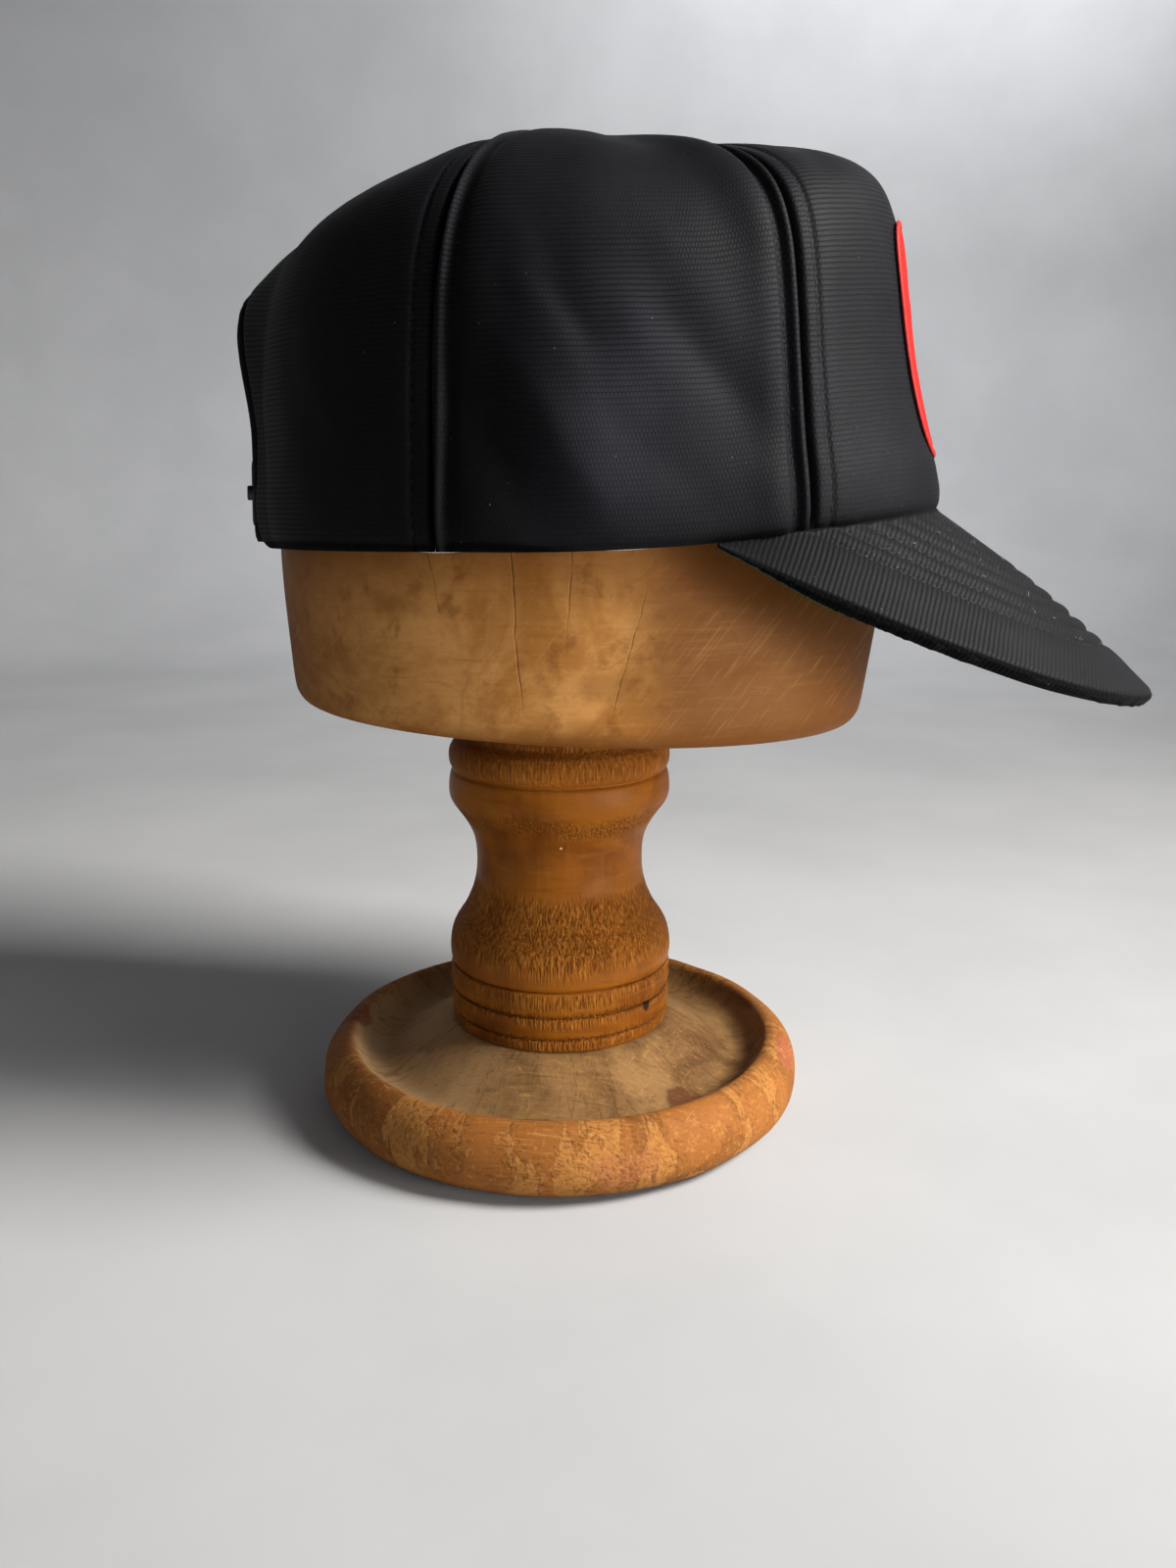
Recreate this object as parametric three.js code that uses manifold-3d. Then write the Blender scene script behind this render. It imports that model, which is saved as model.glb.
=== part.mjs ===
// Trucker cap with foam-backed panels, resting on a wooden hat block with a turned stem and foot.
// Millimetres, +Z up. The origin is the centre of the foot's underside, and the brim points to -Y.
import * as THREE from 'three';
import { mergeVertices } from 'three/addons/utils/BufferGeometryUtils.js';
import Module from 'manifold-3d';

const wasm = await Module();
wasm.setup();

// ---------------------------------------------------------------- driving dimensions
const seat = 0.3;              // gap between pieces that touch
const clothSeat = 0.6;         // the same for faceted layers of cloth, at their corners
const crownTop = 290;          // outer height of the crown at its apex
const apexForward = 6;         // the apex lies this far in front of the stem's axis
const apexHole = 2.4;          // radius of the hole under the button
const panelThickness = 3;      // knit laminated to foam
const groove = { depth: 1.6, width: 4.5, fade: 22 };
const frontSeam = 46;          // degrees round from the front
const backSeam = 108;
const arch = {
  halfWidth: 40, rise: 0.42, power: 2.4, lipWidth: 10, lipWidthHigh: 25, lipPower: 1.6, lipLow: 1.5,
  lipHigh: 8.5, edge: 1.2, proud: 0.3,
};
const hem = { rise: 0.03, side: 0.04, draw: 0.9 };
const band = { height: 32, thickness: 1.3, below: 0.9, end: 143, fold: 0.1 };
const brim = {
  halfAngle: 61, tuck: 2.2, halfWidth: 88, centre: 50, reach: 127,
  cornerHeight: 184, tipHeight: 139.5, camber: 2.5, upper: 2.5, under: 1.3, underReach: 0.975,
  narrowing: 0.07, dropPower: 1.3, seamDrop: 0.1, cornerThickness: 0.5, cornerSpan: 0.16, roundFrom: 0.95,
};
const patch = { halfWidth: 27.5, height: 60, low: 16.5, thickness: 1.1, edgeRadius: 1.3, squareness: 7 };
const strap = {
  low: 6, height: 19, thickness: 1.2, end: 53, overlap: 25, blend: 3, bow: 0.6,
  pegPitch: 9.5, pegRadius: 2.1, pegHeight: 2.7, holeRadius: 2.6,
};
const button = { radius: 7, height: 3.8, shank: 2, reach: 2.6 };
const block = {
  halfLength: 91.5, halfWidth: 76.5, forward: 5.5, underside: 131, shoulder: 192,
  tilt: 2, domePower: 2.1, clear: 0.5,
};
const stemFoot = 28.3;

const colours = {
  knit: 0x15161a, green: 0x1f4a3c, patch: 0xd8241c, thread: 0xe6382a, band: 0xd9d3c4,
  plastic: 0x101113, pale: 0xb98a55, turned: 0x9a5a28, dish: 0x8f6238,
};

const radians = THREE.MathUtils.degToRad;
const degrees = THREE.MathUtils.radToDeg;
const lerp = THREE.MathUtils.lerp;
const smooth = THREE.MathUtils.smoothstep;

// Each row is the crown's wall at one angle round from the front: the radius from the apex's
// axis and the height at the rim, how far the wall leans in, how far its top lies below the
// apex, and the two powers that round it over into the top.
const crownSections = [
  { angle: 0, radius: 108, rim: 192, lean: 21, fall: 3, shoulder: 16, top: 7.5 },
  { angle: 22, radius: 105, rim: 191, lean: 19, fall: 7, shoulder: 14, top: 8 },
  { angle: 46, radius: 97, rim: 187.5, lean: 12, fall: 11, shoulder: 9.2, top: 5.5 },
  { angle: 61, radius: 91, rim: 184.5, lean: 8, fall: 4, shoulder: 6.6, top: 2.5 },
  { angle: 84, radius: 87, rim: 182.5, lean: 5, fall: -2.5, shoulder: 5.4, top: 2.3 },
  { angle: 108, radius: 87, rim: 182, lean: 4, fall: -2, shoulder: 5.2, top: 2.25 },
  { angle: 145, radius: 92.5, rim: 181, lean: 3, fall: 3.5, shoulder: 5, top: 2.1 },
  { angle: 180, radius: 95, rim: 180, lean: 4, fall: 0, shoulder: 4.8, top: 2.2 },
];

// Soft dents in the panels: where the middle lies, the dent's half length and half width in
// millimetres, the slope of its long axis in degrees, and its depth.
const dents = [
  { angle: 63, rise: 0.26, length: 30, width: 7, slope: 52, depth: 1.5 },
  { angle: 82, rise: 0.33, length: 22, width: 5, slope: 55, depth: 0.8 },
  { angle: 90, rise: 0.1, length: 34, width: 9, slope: 62, depth: 1.4 },
];

// The broad hollow that the patch lies in, which both faces of the front panel follow.
const hollow = { rise: 0.21, halfAngle: 40, halfHeight: 28, depth: 2.4 };

// ---------------------------------------------------------------- solids
// Turns a geometry's faces outward, whichever way they were listed.
function facingOut(geometry) {
  const position = geometry.attributes.position;
  const index = geometry.index.array;
  const corners = [new THREE.Vector3(), new THREE.Vector3(), new THREE.Vector3()];
  let volume = 0;
  for (let i = 0; i < index.length; i += 3) {
    corners.forEach((corner, k) => corner.fromBufferAttribute(position, index[i + k]));
    volume += corners[0].dot(corners[1].clone().cross(corners[2]));
  }
  if (volume < 0) {
    for (let i = 0; i < index.length; i += 3) {
      const kept = index[i];
      index[i] = index[i + 2];
      index[i + 2] = kept;
    }
  }
  geometry.computeVertexNormals();
  return geometry;
}

// A closed sheet over a grid of columns and rows. place(u, v, side) gives the point on the
// outer side (0) or the inner side (1).
function closedSheet(columns, rows, place) {
  const points = [];
  const index = [];
  const across = columns.length;
  const count = across * rows.length;
  for (const side of [0, 1]) {
    for (const v of rows) {
      for (const u of columns) points.push(...place(u, v, side).toArray());
    }
  }
  const quad = (a, b, c, d) => index.push(a, b, c, a, c, d);
  for (let j = 0; j + 1 < rows.length; j += 1) {
    for (let i = 0; i + 1 < across; i += 1) {
      const a = j * across + i;
      quad(a, a + 1, a + 1 + across, a + across);
      quad(a + count, a + count + across, a + count + across + 1, a + count + 1);
    }
  }
  const border = [];
  for (let i = 0; i + 1 < across; i += 1) border.push(i);
  for (let j = 0; j + 1 < rows.length; j += 1) border.push(j * across + across - 1);
  for (let i = across - 1; i > 0; i -= 1) border.push(count - across + i);
  for (let j = rows.length - 1; j > 0; j -= 1) border.push(j * across);
  border.forEach((a, k) => {
    const b = border[(k + 1) % border.length];
    quad(b, a, a + count, b + count);
  });
  const geometry = new THREE.BufferGeometry();
  geometry.setAttribute('position', new THREE.Float32BufferAttribute(points, 3));
  geometry.setIndex(index);
  return facingOut(geometry);
}

// A turned solid about +Z from [radius, height] pairs that start and end on the axis.
function turned(profile, segments) {
  const points = profile.map(([radius, height]) => new THREE.Vector2(radius, height));
  const geometry = new THREE.LatheGeometry(points, segments);
  geometry.rotateX(Math.PI / 2);
  return facingOut(geometry);
}

// A closed tube with an oval section of half sizes `deep` along each frame's out direction and
// `wide` across it. An open path gets flat ends.
function tube(path, sides, deep, wide, loop = false) {
  const points = [];
  const index = [];
  const last = path.length - 1;
  path.forEach(({ centre, out }, k) => {
    const next = path[loop ? (k + 1) % path.length : Math.min(k + 1, last)].centre;
    const before = path[loop ? (k + last) % path.length : Math.max(k - 1, 0)].centre;
    const across = next.clone().sub(before).cross(out).normalize();
    for (let i = 0; i < sides; i += 1) {
      const turn = i / sides * 2 * Math.PI;
      const point = centre.clone().addScaledVector(out, deep * Math.cos(turn));
      points.push(...point.addScaledVector(across, wide * Math.sin(turn)).toArray());
    }
  });
  const spans = loop ? path.length : last;
  for (let k = 0; k < spans; k += 1) {
    for (let i = 0; i < sides; i += 1) {
      const [a, b] = [k * sides, (k + 1) % path.length * sides];
      const j = (i + 1) % sides;
      index.push(a + i, a + j, b + j, a + i, b + j, b + i);
    }
  }
  for (let i = 1; !loop && i + 1 < sides; i += 1) {
    index.push(0, i + 1, i, last * sides, last * sides + i, last * sides + i + 1);
  }
  const geometry = new THREE.BufferGeometry();
  geometry.setAttribute('position', new THREE.Float32BufferAttribute(points, 3));
  geometry.setIndex(index);
  return facingOut(geometry);
}

function toManifold(geometry) {
  const bare = geometry.clone();
  for (const name of Object.keys(bare.attributes)) {
    if (name !== 'position') bare.deleteAttribute(name);
  }
  const merged = mergeVertices(bare, 1e-4);
  return new wasm.Manifold(new wasm.Mesh({
    numProp: 3,
    vertProperties: new Float32Array(merged.attributes.position.array),
    triVerts: new Uint32Array(merged.index.array),
  }));
}

function fromManifold(solid) {
  const mesh = solid.getMesh();
  const geometry = new THREE.BufferGeometry();
  geometry.setAttribute('position', new THREE.Float32BufferAttribute(mesh.vertProperties, 3));
  geometry.setIndex(Array.from(mesh.triVerts));
  geometry.computeVertexNormals();
  return geometry;
}

// Even steps from 0 to 1, drawn towards both ends by `pull` (0 leaves them even).
function steps(count, pull = 0) {
  return Array.from({ length: count + 1 }, (_, i) => {
    const t = i / count;
    return lerp(t, (1 - Math.cos(Math.PI * t)) / 2, pull);
  });
}

// ---------------------------------------------------------------- crown surface
// One column of the crown table at any angle, through a smooth curve that is level at the
// front and at the back.
function section(angle, column) {
  const rows = crownSections;
  const a = Math.abs(angle) > 180 ? 360 - Math.abs(angle) : Math.abs(angle);
  const k = rows.findLastIndex((row, i) => i + 1 < rows.length && row.angle <= a);
  const slope = (i) => {
    if (i === 0 || i === rows.length - 1) return 0;
    return (rows[i + 1][column] - rows[i - 1][column]) / (rows[i + 1].angle - rows[i - 1].angle);
  };
  const span = rows[k + 1].angle - rows[k].angle;
  const t = (a - rows[k].angle) / span;
  const low = (1 + 2 * t) * (1 - t) ** 2 * rows[k][column] + t * (1 - t) ** 2 * span * slope(k);
  const high = t * t * (3 - 2 * t) * rows[k + 1][column] + t * t * (t - 1) * span * slope(k + 1);
  return low + high;
}

// The wall at one angle as points of [radius, height, length so far].
const wallSteps = 48;
const walls = new Map();
function wall(angle) {
  const key = Math.abs(angle).toFixed(4);
  if (walls.has(key)) return walls.get(key);
  const { radius, rim, lean, fall, shoulder, top } = Object.fromEntries(
    Object.keys(crownSections[0]).map((column) => [column, section(angle, column)]),
  );
  const points = [];
  for (let i = 0; i <= wallSteps; i += 1) {
    const turn = (i / wallSteps) ** 1.6 * Math.PI / 2;
    const h = Math.sin(turn) ** (2 / shoulder);
    const r = (radius - lean * h) * Math.max(1 - h ** shoulder, 0) ** (1 / top);
    const z = rim + (crownTop - fall * r / radius - rim) * h;
    const last = points.at(-1);
    const length = last ? last[2] + Math.hypot(r - last[0], z - last[1]) : 0;
    points.push([Math.max(r, apexHole), z, length]);
  }
  walls.set(key, points);
  return points;
}

// The wall's radius and height at a rise from 0 at the rim to 1 at the apex.
function wallPoint(angle, rise) {
  const points = wall(angle);
  const goal = THREE.MathUtils.clamp(rise, 0, 1) * points.at(-1)[2];
  const k = Math.max(points.findIndex((point) => point[2] >= goal), 1);
  const [a, b] = [points[k - 1], points[k]];
  const t = (goal - a[2]) / (b[2] - a[2]);
  return { r: lerp(a[0], b[0], t), z: lerp(a[1], b[1], t), length: points.at(-1)[2] };
}

function bareCrown(angle, rise) {
  const at = wallPoint(angle, rise);
  const turn = radians(angle);
  return new THREE.Vector3(-at.r * Math.sin(turn), -apexForward - at.r * Math.cos(turn), at.z);
}

function crownNormal(angle, rise) {
  const step = 0.005;
  const middle = THREE.MathUtils.clamp(rise, step, 0.97);
  const up = bareCrown(angle, middle + step).sub(bareCrown(angle, middle - step));
  const round = bareCrown(angle + 0.5, middle).sub(bareCrown(angle - 0.5, middle));
  return up.cross(round).normalize();
}

// Half the width of the opening at the back, at a rise up the wall.
function archHalfWidth(rise) {
  return rise >= arch.rise ? 0 : arch.halfWidth * (1 - (rise / arch.rise) ** arch.power) ** 0.5;
}

// How far the whole wall is moved outward: the lip round the opening at the back is turned out,
// and the front is hollow.
function bend(angle, rise) {
  const at = wallPoint(angle, rise);
  const x = at.r * radians(Math.abs(180 - Math.abs(angle)));
  const y = rise * at.length;
  const top = arch.rise * at.length;
  const past = Math.hypot(x / arch.halfWidth, y / top) - 1;
  const away = past * lerp(arch.halfWidth, top, smooth(y / top, 0, 1));
  const high = smooth(rise / arch.rise, 0.4, 1);
  const wide = lerp(arch.lipWidth, arch.lipWidthHigh, high);
  const most = lerp(arch.lipLow, arch.lipHigh, high);
  const lip = most * THREE.MathUtils.clamp(1 - away / wide, 0, 1) ** lerp(1, arch.lipPower, high);
  const up = (rise - hollow.rise) * at.length / hollow.halfHeight;
  return lip - hollow.depth * Math.exp(-((angle / hollow.halfAngle) ** 2) - up * up);
}

// How far the outer face stands off the plain wall: grooves at the seams, and dents.
function relief(angle, rise) {
  const at = wallPoint(angle, rise);
  const side = Math.abs(angle);
  const aways = [frontSeam, backSeam, 180].map((seam) => at.r * radians(side - seam));
  const deepest = Math.max(...aways.map((away) => Math.exp(-((away / groove.width) ** 2))));
  let out = -groove.depth * deepest * smooth(at.r, apexHole, groove.fade);
  for (const dent of dents) {
    const x = at.r * radians(side - dent.angle);
    const y = (rise - dent.rise) * at.length;
    const turn = radians(dent.slope);
    const along = (x * Math.cos(turn) + y * Math.sin(turn)) / dent.length;
    const over = (y * Math.cos(turn) - x * Math.sin(turn)) / dent.width;
    out -= dent.depth * Math.exp(-along * along - over * over);
  }
  return out;
}

// A point `depth` inside the crown's wall.
function crownPoint(angle, rise, depth) {
  return bareCrown(angle, rise).addScaledVector(crownNormal(angle, rise), bend(angle, rise) - depth);
}

// ---------------------------------------------------------------- crown panels
// The panel between two seams. It keeps half a seat from each, its hem and its edge at the
// opening are rounded by drawing both faces in, and only the outer face has the relief.
function panel(from, to, columns, rows, opening = false) {
  return closedSheet(columns, rows, (u, rise, side) => {
    const gap = degrees(Math.asin(Math.min(seat / 2 / wallPoint(to, rise).r, 0.5)));
    const cut = opening ? degrees(Math.asin(archHalfWidth(rise) / wallPoint(to, rise).r)) : 0;
    const angle = lerp(from + gap, to - Math.max(gap, cut), u);
    const edge = Math.min(rise / hem.rise, 1, cut > 0 ? (1 - u) / hem.side : 1);
    const pinch = hem.draw * (1 - edge);
    const depth = side === 0 ? pinch - relief(angle, rise) : panelThickness - pinch;
    return crownPoint(angle, rise, depth);
  });
}

const hemmed = (rows) => [0, ...rows.map((t) => lerp(hem.rise, 1, t))];

function mirrored(geometry) {
  const copy = geometry.clone();
  copy.scale(-1, 1, 1);
  return facingOut(copy);
}

// Rows from the rim to the apex, closer together where the wall turns over into the top.
const shoulderRows = (count) => steps(count).map((t) => t + 0.08 * Math.sin(2 * Math.PI * t));

const frontPanel = () => panel(-frontSeam, frontSeam, steps(14, 0.35), hemmed(shoulderRows(13)));
const sidePanel = () => panel(frontSeam, backSeam, steps(10, 0.5), hemmed(shoulderRows(12)));

// The rows bunch towards the top of the opening, where its edge is level.
const archRows = [0, hem.rise, ...steps(8).slice(1).map((t) => arch.rise * Math.sin(t * Math.PI / 2))];
const backPanel = () => panel(
  backSeam, 180, steps(9, 0.4), [...archRows, ...steps(7).slice(1).map((t) => lerp(arch.rise, 1, t))], true,
);

// The binding of the opening runs from one foot of the arch to the other, just inside its edge.
function archBinding() {
  const inside = arch.edge + seat;
  const half = archRows.map((rise) => {
    const at = wallPoint(180, rise);
    const x = Math.max(archHalfWidth(rise) - inside, 0);
    return { away: degrees(Math.asin(x / at.r)), rise: rise * (1 - inside / (arch.rise * at.length)) };
  });
  const route = [
    ...half.map(({ away, rise }) => [180 - away, rise]),
    ...half.slice(0, -1).reverse().map(({ away, rise }) => [180 + away, rise]),
  ];
  const path = route.map(([angle, rise]) => ({
    centre: crownPoint(angle, rise, panelThickness / 2),
    out: crownNormal(angle, rise),
  }));
  return tube(path, 8, panelThickness / 2 + arch.proud, arch.edge);
}

// The sweatband lines the rim from one side of the opening round the front to the other.
function sweatband() {
  const angles = steps(56).map((t) => lerp(-band.end, band.end, t));
  return closedSheet(angles, [0, band.fold, 1], (angle, v, side) => {
    const { length } = wallPoint(angle, 0);
    const depth = panelThickness + clothSeat + side * band.thickness;
    const point = crownPoint(angle, v * band.height / length, depth);
    point.z -= band.below * (1 - Math.min(v / band.fold, 1));
    return point;
  });
}

// ---------------------------------------------------------------- brim
// The brim's upper surface over s = -1..1 from side to side and w = 0..1 from crown to edge.
function brimSurface(s, w) {
  const angle = s * brim.halfAngle;
  const radius = section(angle, 'radius') - brim.tuck;
  const inner = new THREE.Vector3(
    -radius * Math.sin(radians(angle)),
    -apexForward - radius * Math.cos(radians(angle)),
    section(angle, 'rim') - clothSeat - brim.seamDrop,
  );
  const turn = s * Math.PI / 2;
  const narrowing = 1 - brim.narrowing * s ** 6;
  const drop = (1 - Math.cos(turn)) ** brim.dropPower;
  const outer = new THREE.Vector3(
    -brim.halfWidth * narrowing * Math.sin(turn),
    -brim.centre - brim.reach * Math.cos(turn),
    lerp(brim.tipHeight, brim.cornerHeight, drop),
  );
  const point = inner.lerp(outer, w);
  point.z += brim.camber * Math.sin(Math.PI * w) * Math.cos(turn);
  return point;
}

// One layer of the brim, `from` below its upper surface. Both layers thin out towards the two
// corners, and the lower one stops short of the edge.
function brimLayer(from, thickness, reach) {
  const columns = steps(22, 0.25).map((t) => 2 * t - 1);
  const rows = [0, 0.12, 0.3, 0.5, 0.7, 0.86, brim.roundFrom, 1];
  const step = 0.01;
  const up = new THREE.Vector3(0, 0, 1);
  return closedSheet(columns, rows, (s, row, side) => {
    const w = row * reach;
    const across = brimSurface(s + step, w).sub(brimSurface(s - step, w));
    const along = brimSurface(s, w + step).sub(brimSurface(s, w - step));
    const normal = across.cross(along).normalize().lerp(up, 1 - smooth(w, 0, 0.15)).normalize();
    const thinning = lerp(brim.cornerThickness, 1, smooth(1 - Math.abs(s), 0, brim.cornerSpan));
    const rounding = Math.max((row - brim.roundFrom) / (1 - brim.roundFrom), 0);
    const pinch = 0.25 * thickness * rounding;
    const depth = from + (side === 0 ? pinch : thickness - pinch);
    return brimSurface(s, w).addScaledVector(normal, -depth * thinning);
  });
}

// ---------------------------------------------------------------- front patch
// A point on the patch, a squared-off oval centred on the front panel. a and b run from -1 to 1,
// and `grow` widens the oval by that many millimetres.
function patchPoint(a, b, lift, grow = 0) {
  const power = patch.squareness;
  const most = Math.max(Math.abs(a), Math.abs(b));
  const squared = most === 0 ? 1 : most / (Math.abs(a) ** power + Math.abs(b) ** power) ** (1 / power);
  const { length } = wallPoint(0, 0);
  const rise = (patch.low + patch.height / 2 + b * squared * (patch.height / 2 + grow)) / length;
  const angle = degrees(a * squared * (patch.halfWidth + grow) / wallPoint(0, rise).r);
  return crownPoint(angle, rise, -relief(angle, rise) - lift);
}

function patchFace() {
  const grid = steps(10).map((t) => 2 * t - 1);
  return closedSheet(grid, grid, (a, b, side) => patchPoint(a, b, clothSeat + (1 - side) * patch.thickness));
}

function patchBorder() {
  const turns = steps(44).slice(0, -1).map((t) => t * 2 * Math.PI);
  const path = turns.map((turn) => {
    const most = Math.max(Math.abs(Math.cos(turn)), Math.abs(Math.sin(turn)));
    const [a, b] = [Math.cos(turn) / most, Math.sin(turn) / most];
    const centre = patchPoint(a, b, clothSeat + patch.edgeRadius, patch.edgeRadius + seat);
    const out = patchPoint(a, b, 3, 1).sub(patchPoint(a, b, 0, 1)).normalize();
    return { centre, out };
  });
  return tube(path, 6, patch.edgeRadius, patch.edgeRadius, true);
}

// ---------------------------------------------------------------- snap strap
// A point on the strap at x from the middle of the back. It runs inside the panels at its ends
// and bows out between them.
function strapPoint(x, height, outward) {
  const { length, r } = wallPoint(180, 0);
  const angle = 180 + degrees(Math.asin(x / r));
  const inPanel = panelThickness + clothSeat;
  const depth = lerp(-strap.bow, inPanel, smooth(Math.abs(x), strap.overlap + strap.blend, arch.halfWidth));
  const point = bareCrown(angle, height / length);
  return point.addScaledVector(crownNormal(angle, height / length), outward - depth);
}

// A stretch of strap. `lift` raises it where it lies on the other half.
function strapBand(from, to, lift) {
  const columns = steps(Math.round((to - from) / 5)).map((t) => lerp(from, to, t));
  return closedSheet(columns, [0, 1], (x, v, side) => {
    const over = 1 - smooth(Math.abs(x), strap.overlap + strap.blend, arch.halfWidth);
    return strapPoint(x, strap.low + v * strap.height, lift * over - side * strap.thickness);
  });
}

// Pins square to the strap on its middle line, at whole steps of the pegs' pitch.
function pins(first, last, radius, inward, outward) {
  const middle = strap.low + strap.height / 2;
  return Array.from({ length: last - first + 1 }, (_, i) => {
    const x = (first + i) * strap.pegPitch;
    const low = strapPoint(x, middle, inward);
    const high = strapPoint(x, middle, outward);
    const pin = new THREE.CylinderGeometry(radius, radius, low.distanceTo(high), 8);
    const along = high.clone().sub(low).normalize();
    pin.applyQuaternion(new THREE.Quaternion().setFromUnitVectors(new THREE.Vector3(0, 1, 0), along));
    const centre = low.lerp(high, 0.5);
    pin.translate(centre.x, centre.y, centre.z);
    return toManifold(pin);
  });
}

function strapWithPegs() {
  const pegs = pins(-3, 2, strap.pegRadius, -strap.thickness / 2, strap.pegHeight);
  const band = toManifold(strapBand(-strap.end, strap.overlap, 0));
  return fromManifold(pegs.reduce((solid, peg) => solid.add(peg), band));
}

function strapWithHoles() {
  const holes = pins(-2, 3, strap.holeRadius, -4, 6);
  const band = toManifold(strapBand(-strap.overlap, strap.end, strap.thickness + seat));
  return fromManifold(holes.reduce((solid, hole) => solid.subtract(hole), band));
}

// ---------------------------------------------------------------- button, block, stem and foot
const topButton = () => turned([
  [0, crownTop - button.reach], [button.shank, crownTop - button.reach],
  [button.shank, crownTop + seat], [button.radius - 0.6, crownTop + seat],
  [button.radius, crownTop + 1.2], [button.radius * 0.8, crownTop + 2.7],
  [button.radius * 0.45, crownTop + 3.5], [0, crownTop + button.height],
], 16);

// The block is an oval that widens from its underside to the shoulder and is domed above it.
function hatBlock() {
  const top = crownTop - panelThickness - block.clear;
  const sides = [
    [0, 0], [0.88, 0], [0.93, 1.2], [0.952, 4.5], [0.965, 14], [0.99, 38],
    [1, block.shoulder - block.underside],
  ];
  const dome = steps(8).slice(1).map((t) => {
    const h = Math.sin(t * Math.PI / 2);
    const r = (1 - h ** block.domePower) ** 0.5;
    return [r, lerp(block.shoulder, top, h) - block.underside];
  });
  const geometry = turned([...sides, ...dome], 36);
  geometry.scale(block.halfWidth, block.halfLength, 1);
  geometry.rotateX(radians(block.tilt));
  geometry.translate(0, -block.forward, block.underside);
  return facingOut(geometry);
}

// Each row of the stem's profile is a radius and a height, from its foot to the block.
const stemProfile = [
  [0, stemFoot], [33.5, stemFoot], [34.8, 30], [35.2, 32.2], [34.2, 33],
  [35.4, 34], [35.5, 38.2], [34.3, 39.2],
  [35.5, 40.2], [35.6, 46.6], [34.4, 47.6], [35.4, 48.6], [35.8, 53], [34.6, 59], [30.4, 66], [27.6, 73.5],
  [26.7, 81], [27.4, 89], [30, 95], [33.8, 100.5], [35, 104], [34.9, 108], [33.6, 111.2], [34.8, 113.4],
  [34.9, 117], [33, 120], [30.5, 121], [30.5, 129.8], [0, 129.8],
];

// The foot is a dish: a rounded rim round a floor that climbs to the stem.
const footProfile = [
  [0, 0], [65, 0], [70.5, 0.8], [75.2, 3.6], [77.6, 7.6], [78, 11.5], [77, 16.5], [74.2, 20.8], [70.6, 23.2],
  [67.6, 22.6], [65.4, 19.6], [62.4, 16.6], [57.5, 16], [51, 19], [44, 23.4], [38, 27], [35.5, 28], [0, 28],
];

// ---------------------------------------------------------------- group
const group = new THREE.Group();
function add(name, geometry, colour, roughness = 0.8) {
  const material = new THREE.MeshStandardMaterial({ color: colour, roughness, metalness: 0 });
  const mesh = new THREE.Mesh(geometry, material);
  mesh.name = name;
  group.add(mesh);
}

add('front_panel', frontPanel(), colours.knit);
add('side_panel_right', sidePanel(), colours.knit);
add('side_panel_left', mirrored(sidePanel()), colours.knit);
add('back_panel_right', backPanel(), colours.knit);
add('back_panel_left', mirrored(backPanel()), colours.knit);
add('arch_binding', archBinding(), colours.knit);
add('top_button', topButton().translate(0, -apexForward, 0), colours.knit);
add('sweatband', sweatband(), colours.band);
add('brim_upper', brimLayer(0, brim.upper, 1), colours.knit);
add('brim_under', brimLayer(brim.upper + clothSeat, brim.under, brim.underReach), colours.green);
add('patch_face', patchFace(), colours.patch);
add('patch_border', patchBorder(), colours.thread, 0.6);
add('strap_with_pegs', strapWithPegs(), colours.plastic, 0.35);
add('strap_with_holes', strapWithHoles(), colours.plastic, 0.35);
add('hat_block', hatBlock(), colours.pale, 0.6);
add('stem', turned(stemProfile, 22), colours.turned, 0.5);
add('foot', turned(footProfile, 34), colours.dish, 0.6);

export default group;
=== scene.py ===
# Trucker cap of foam-backed ribbed knit on a turned wooden hat block stand.
# Metres, +Z up, brim towards -Y. Shape functions work in millimetres and are scaled as they are placed.
import math
import random
from bisect import bisect_left
from functools import lru_cache

import bmesh
import bpy
from mathutils import Matrix, Vector, noise
from mathutils.kdtree import KDTree


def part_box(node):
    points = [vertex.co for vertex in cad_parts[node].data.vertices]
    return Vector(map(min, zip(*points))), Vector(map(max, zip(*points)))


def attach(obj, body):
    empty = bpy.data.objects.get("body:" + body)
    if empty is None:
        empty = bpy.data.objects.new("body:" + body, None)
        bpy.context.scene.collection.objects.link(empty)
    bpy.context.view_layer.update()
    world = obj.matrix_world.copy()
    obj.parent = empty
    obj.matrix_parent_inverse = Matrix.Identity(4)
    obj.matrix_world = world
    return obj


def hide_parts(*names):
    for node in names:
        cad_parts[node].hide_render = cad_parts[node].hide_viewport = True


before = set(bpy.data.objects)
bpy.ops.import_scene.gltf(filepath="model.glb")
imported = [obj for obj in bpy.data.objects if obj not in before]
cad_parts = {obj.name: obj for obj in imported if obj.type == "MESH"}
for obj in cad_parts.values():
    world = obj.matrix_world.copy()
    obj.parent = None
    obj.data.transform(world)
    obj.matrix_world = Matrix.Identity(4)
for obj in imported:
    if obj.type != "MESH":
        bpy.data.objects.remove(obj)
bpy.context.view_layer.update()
mm = 0.001


# camera: stands off the wearer's right side, a little above the rim, and looks slightly down
viewpoint = {"place": (-0.3939, -0.05065, 0.198), "heading": 6, "down": 13.2, "lens": 29.25, "sensor": 36}


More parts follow.
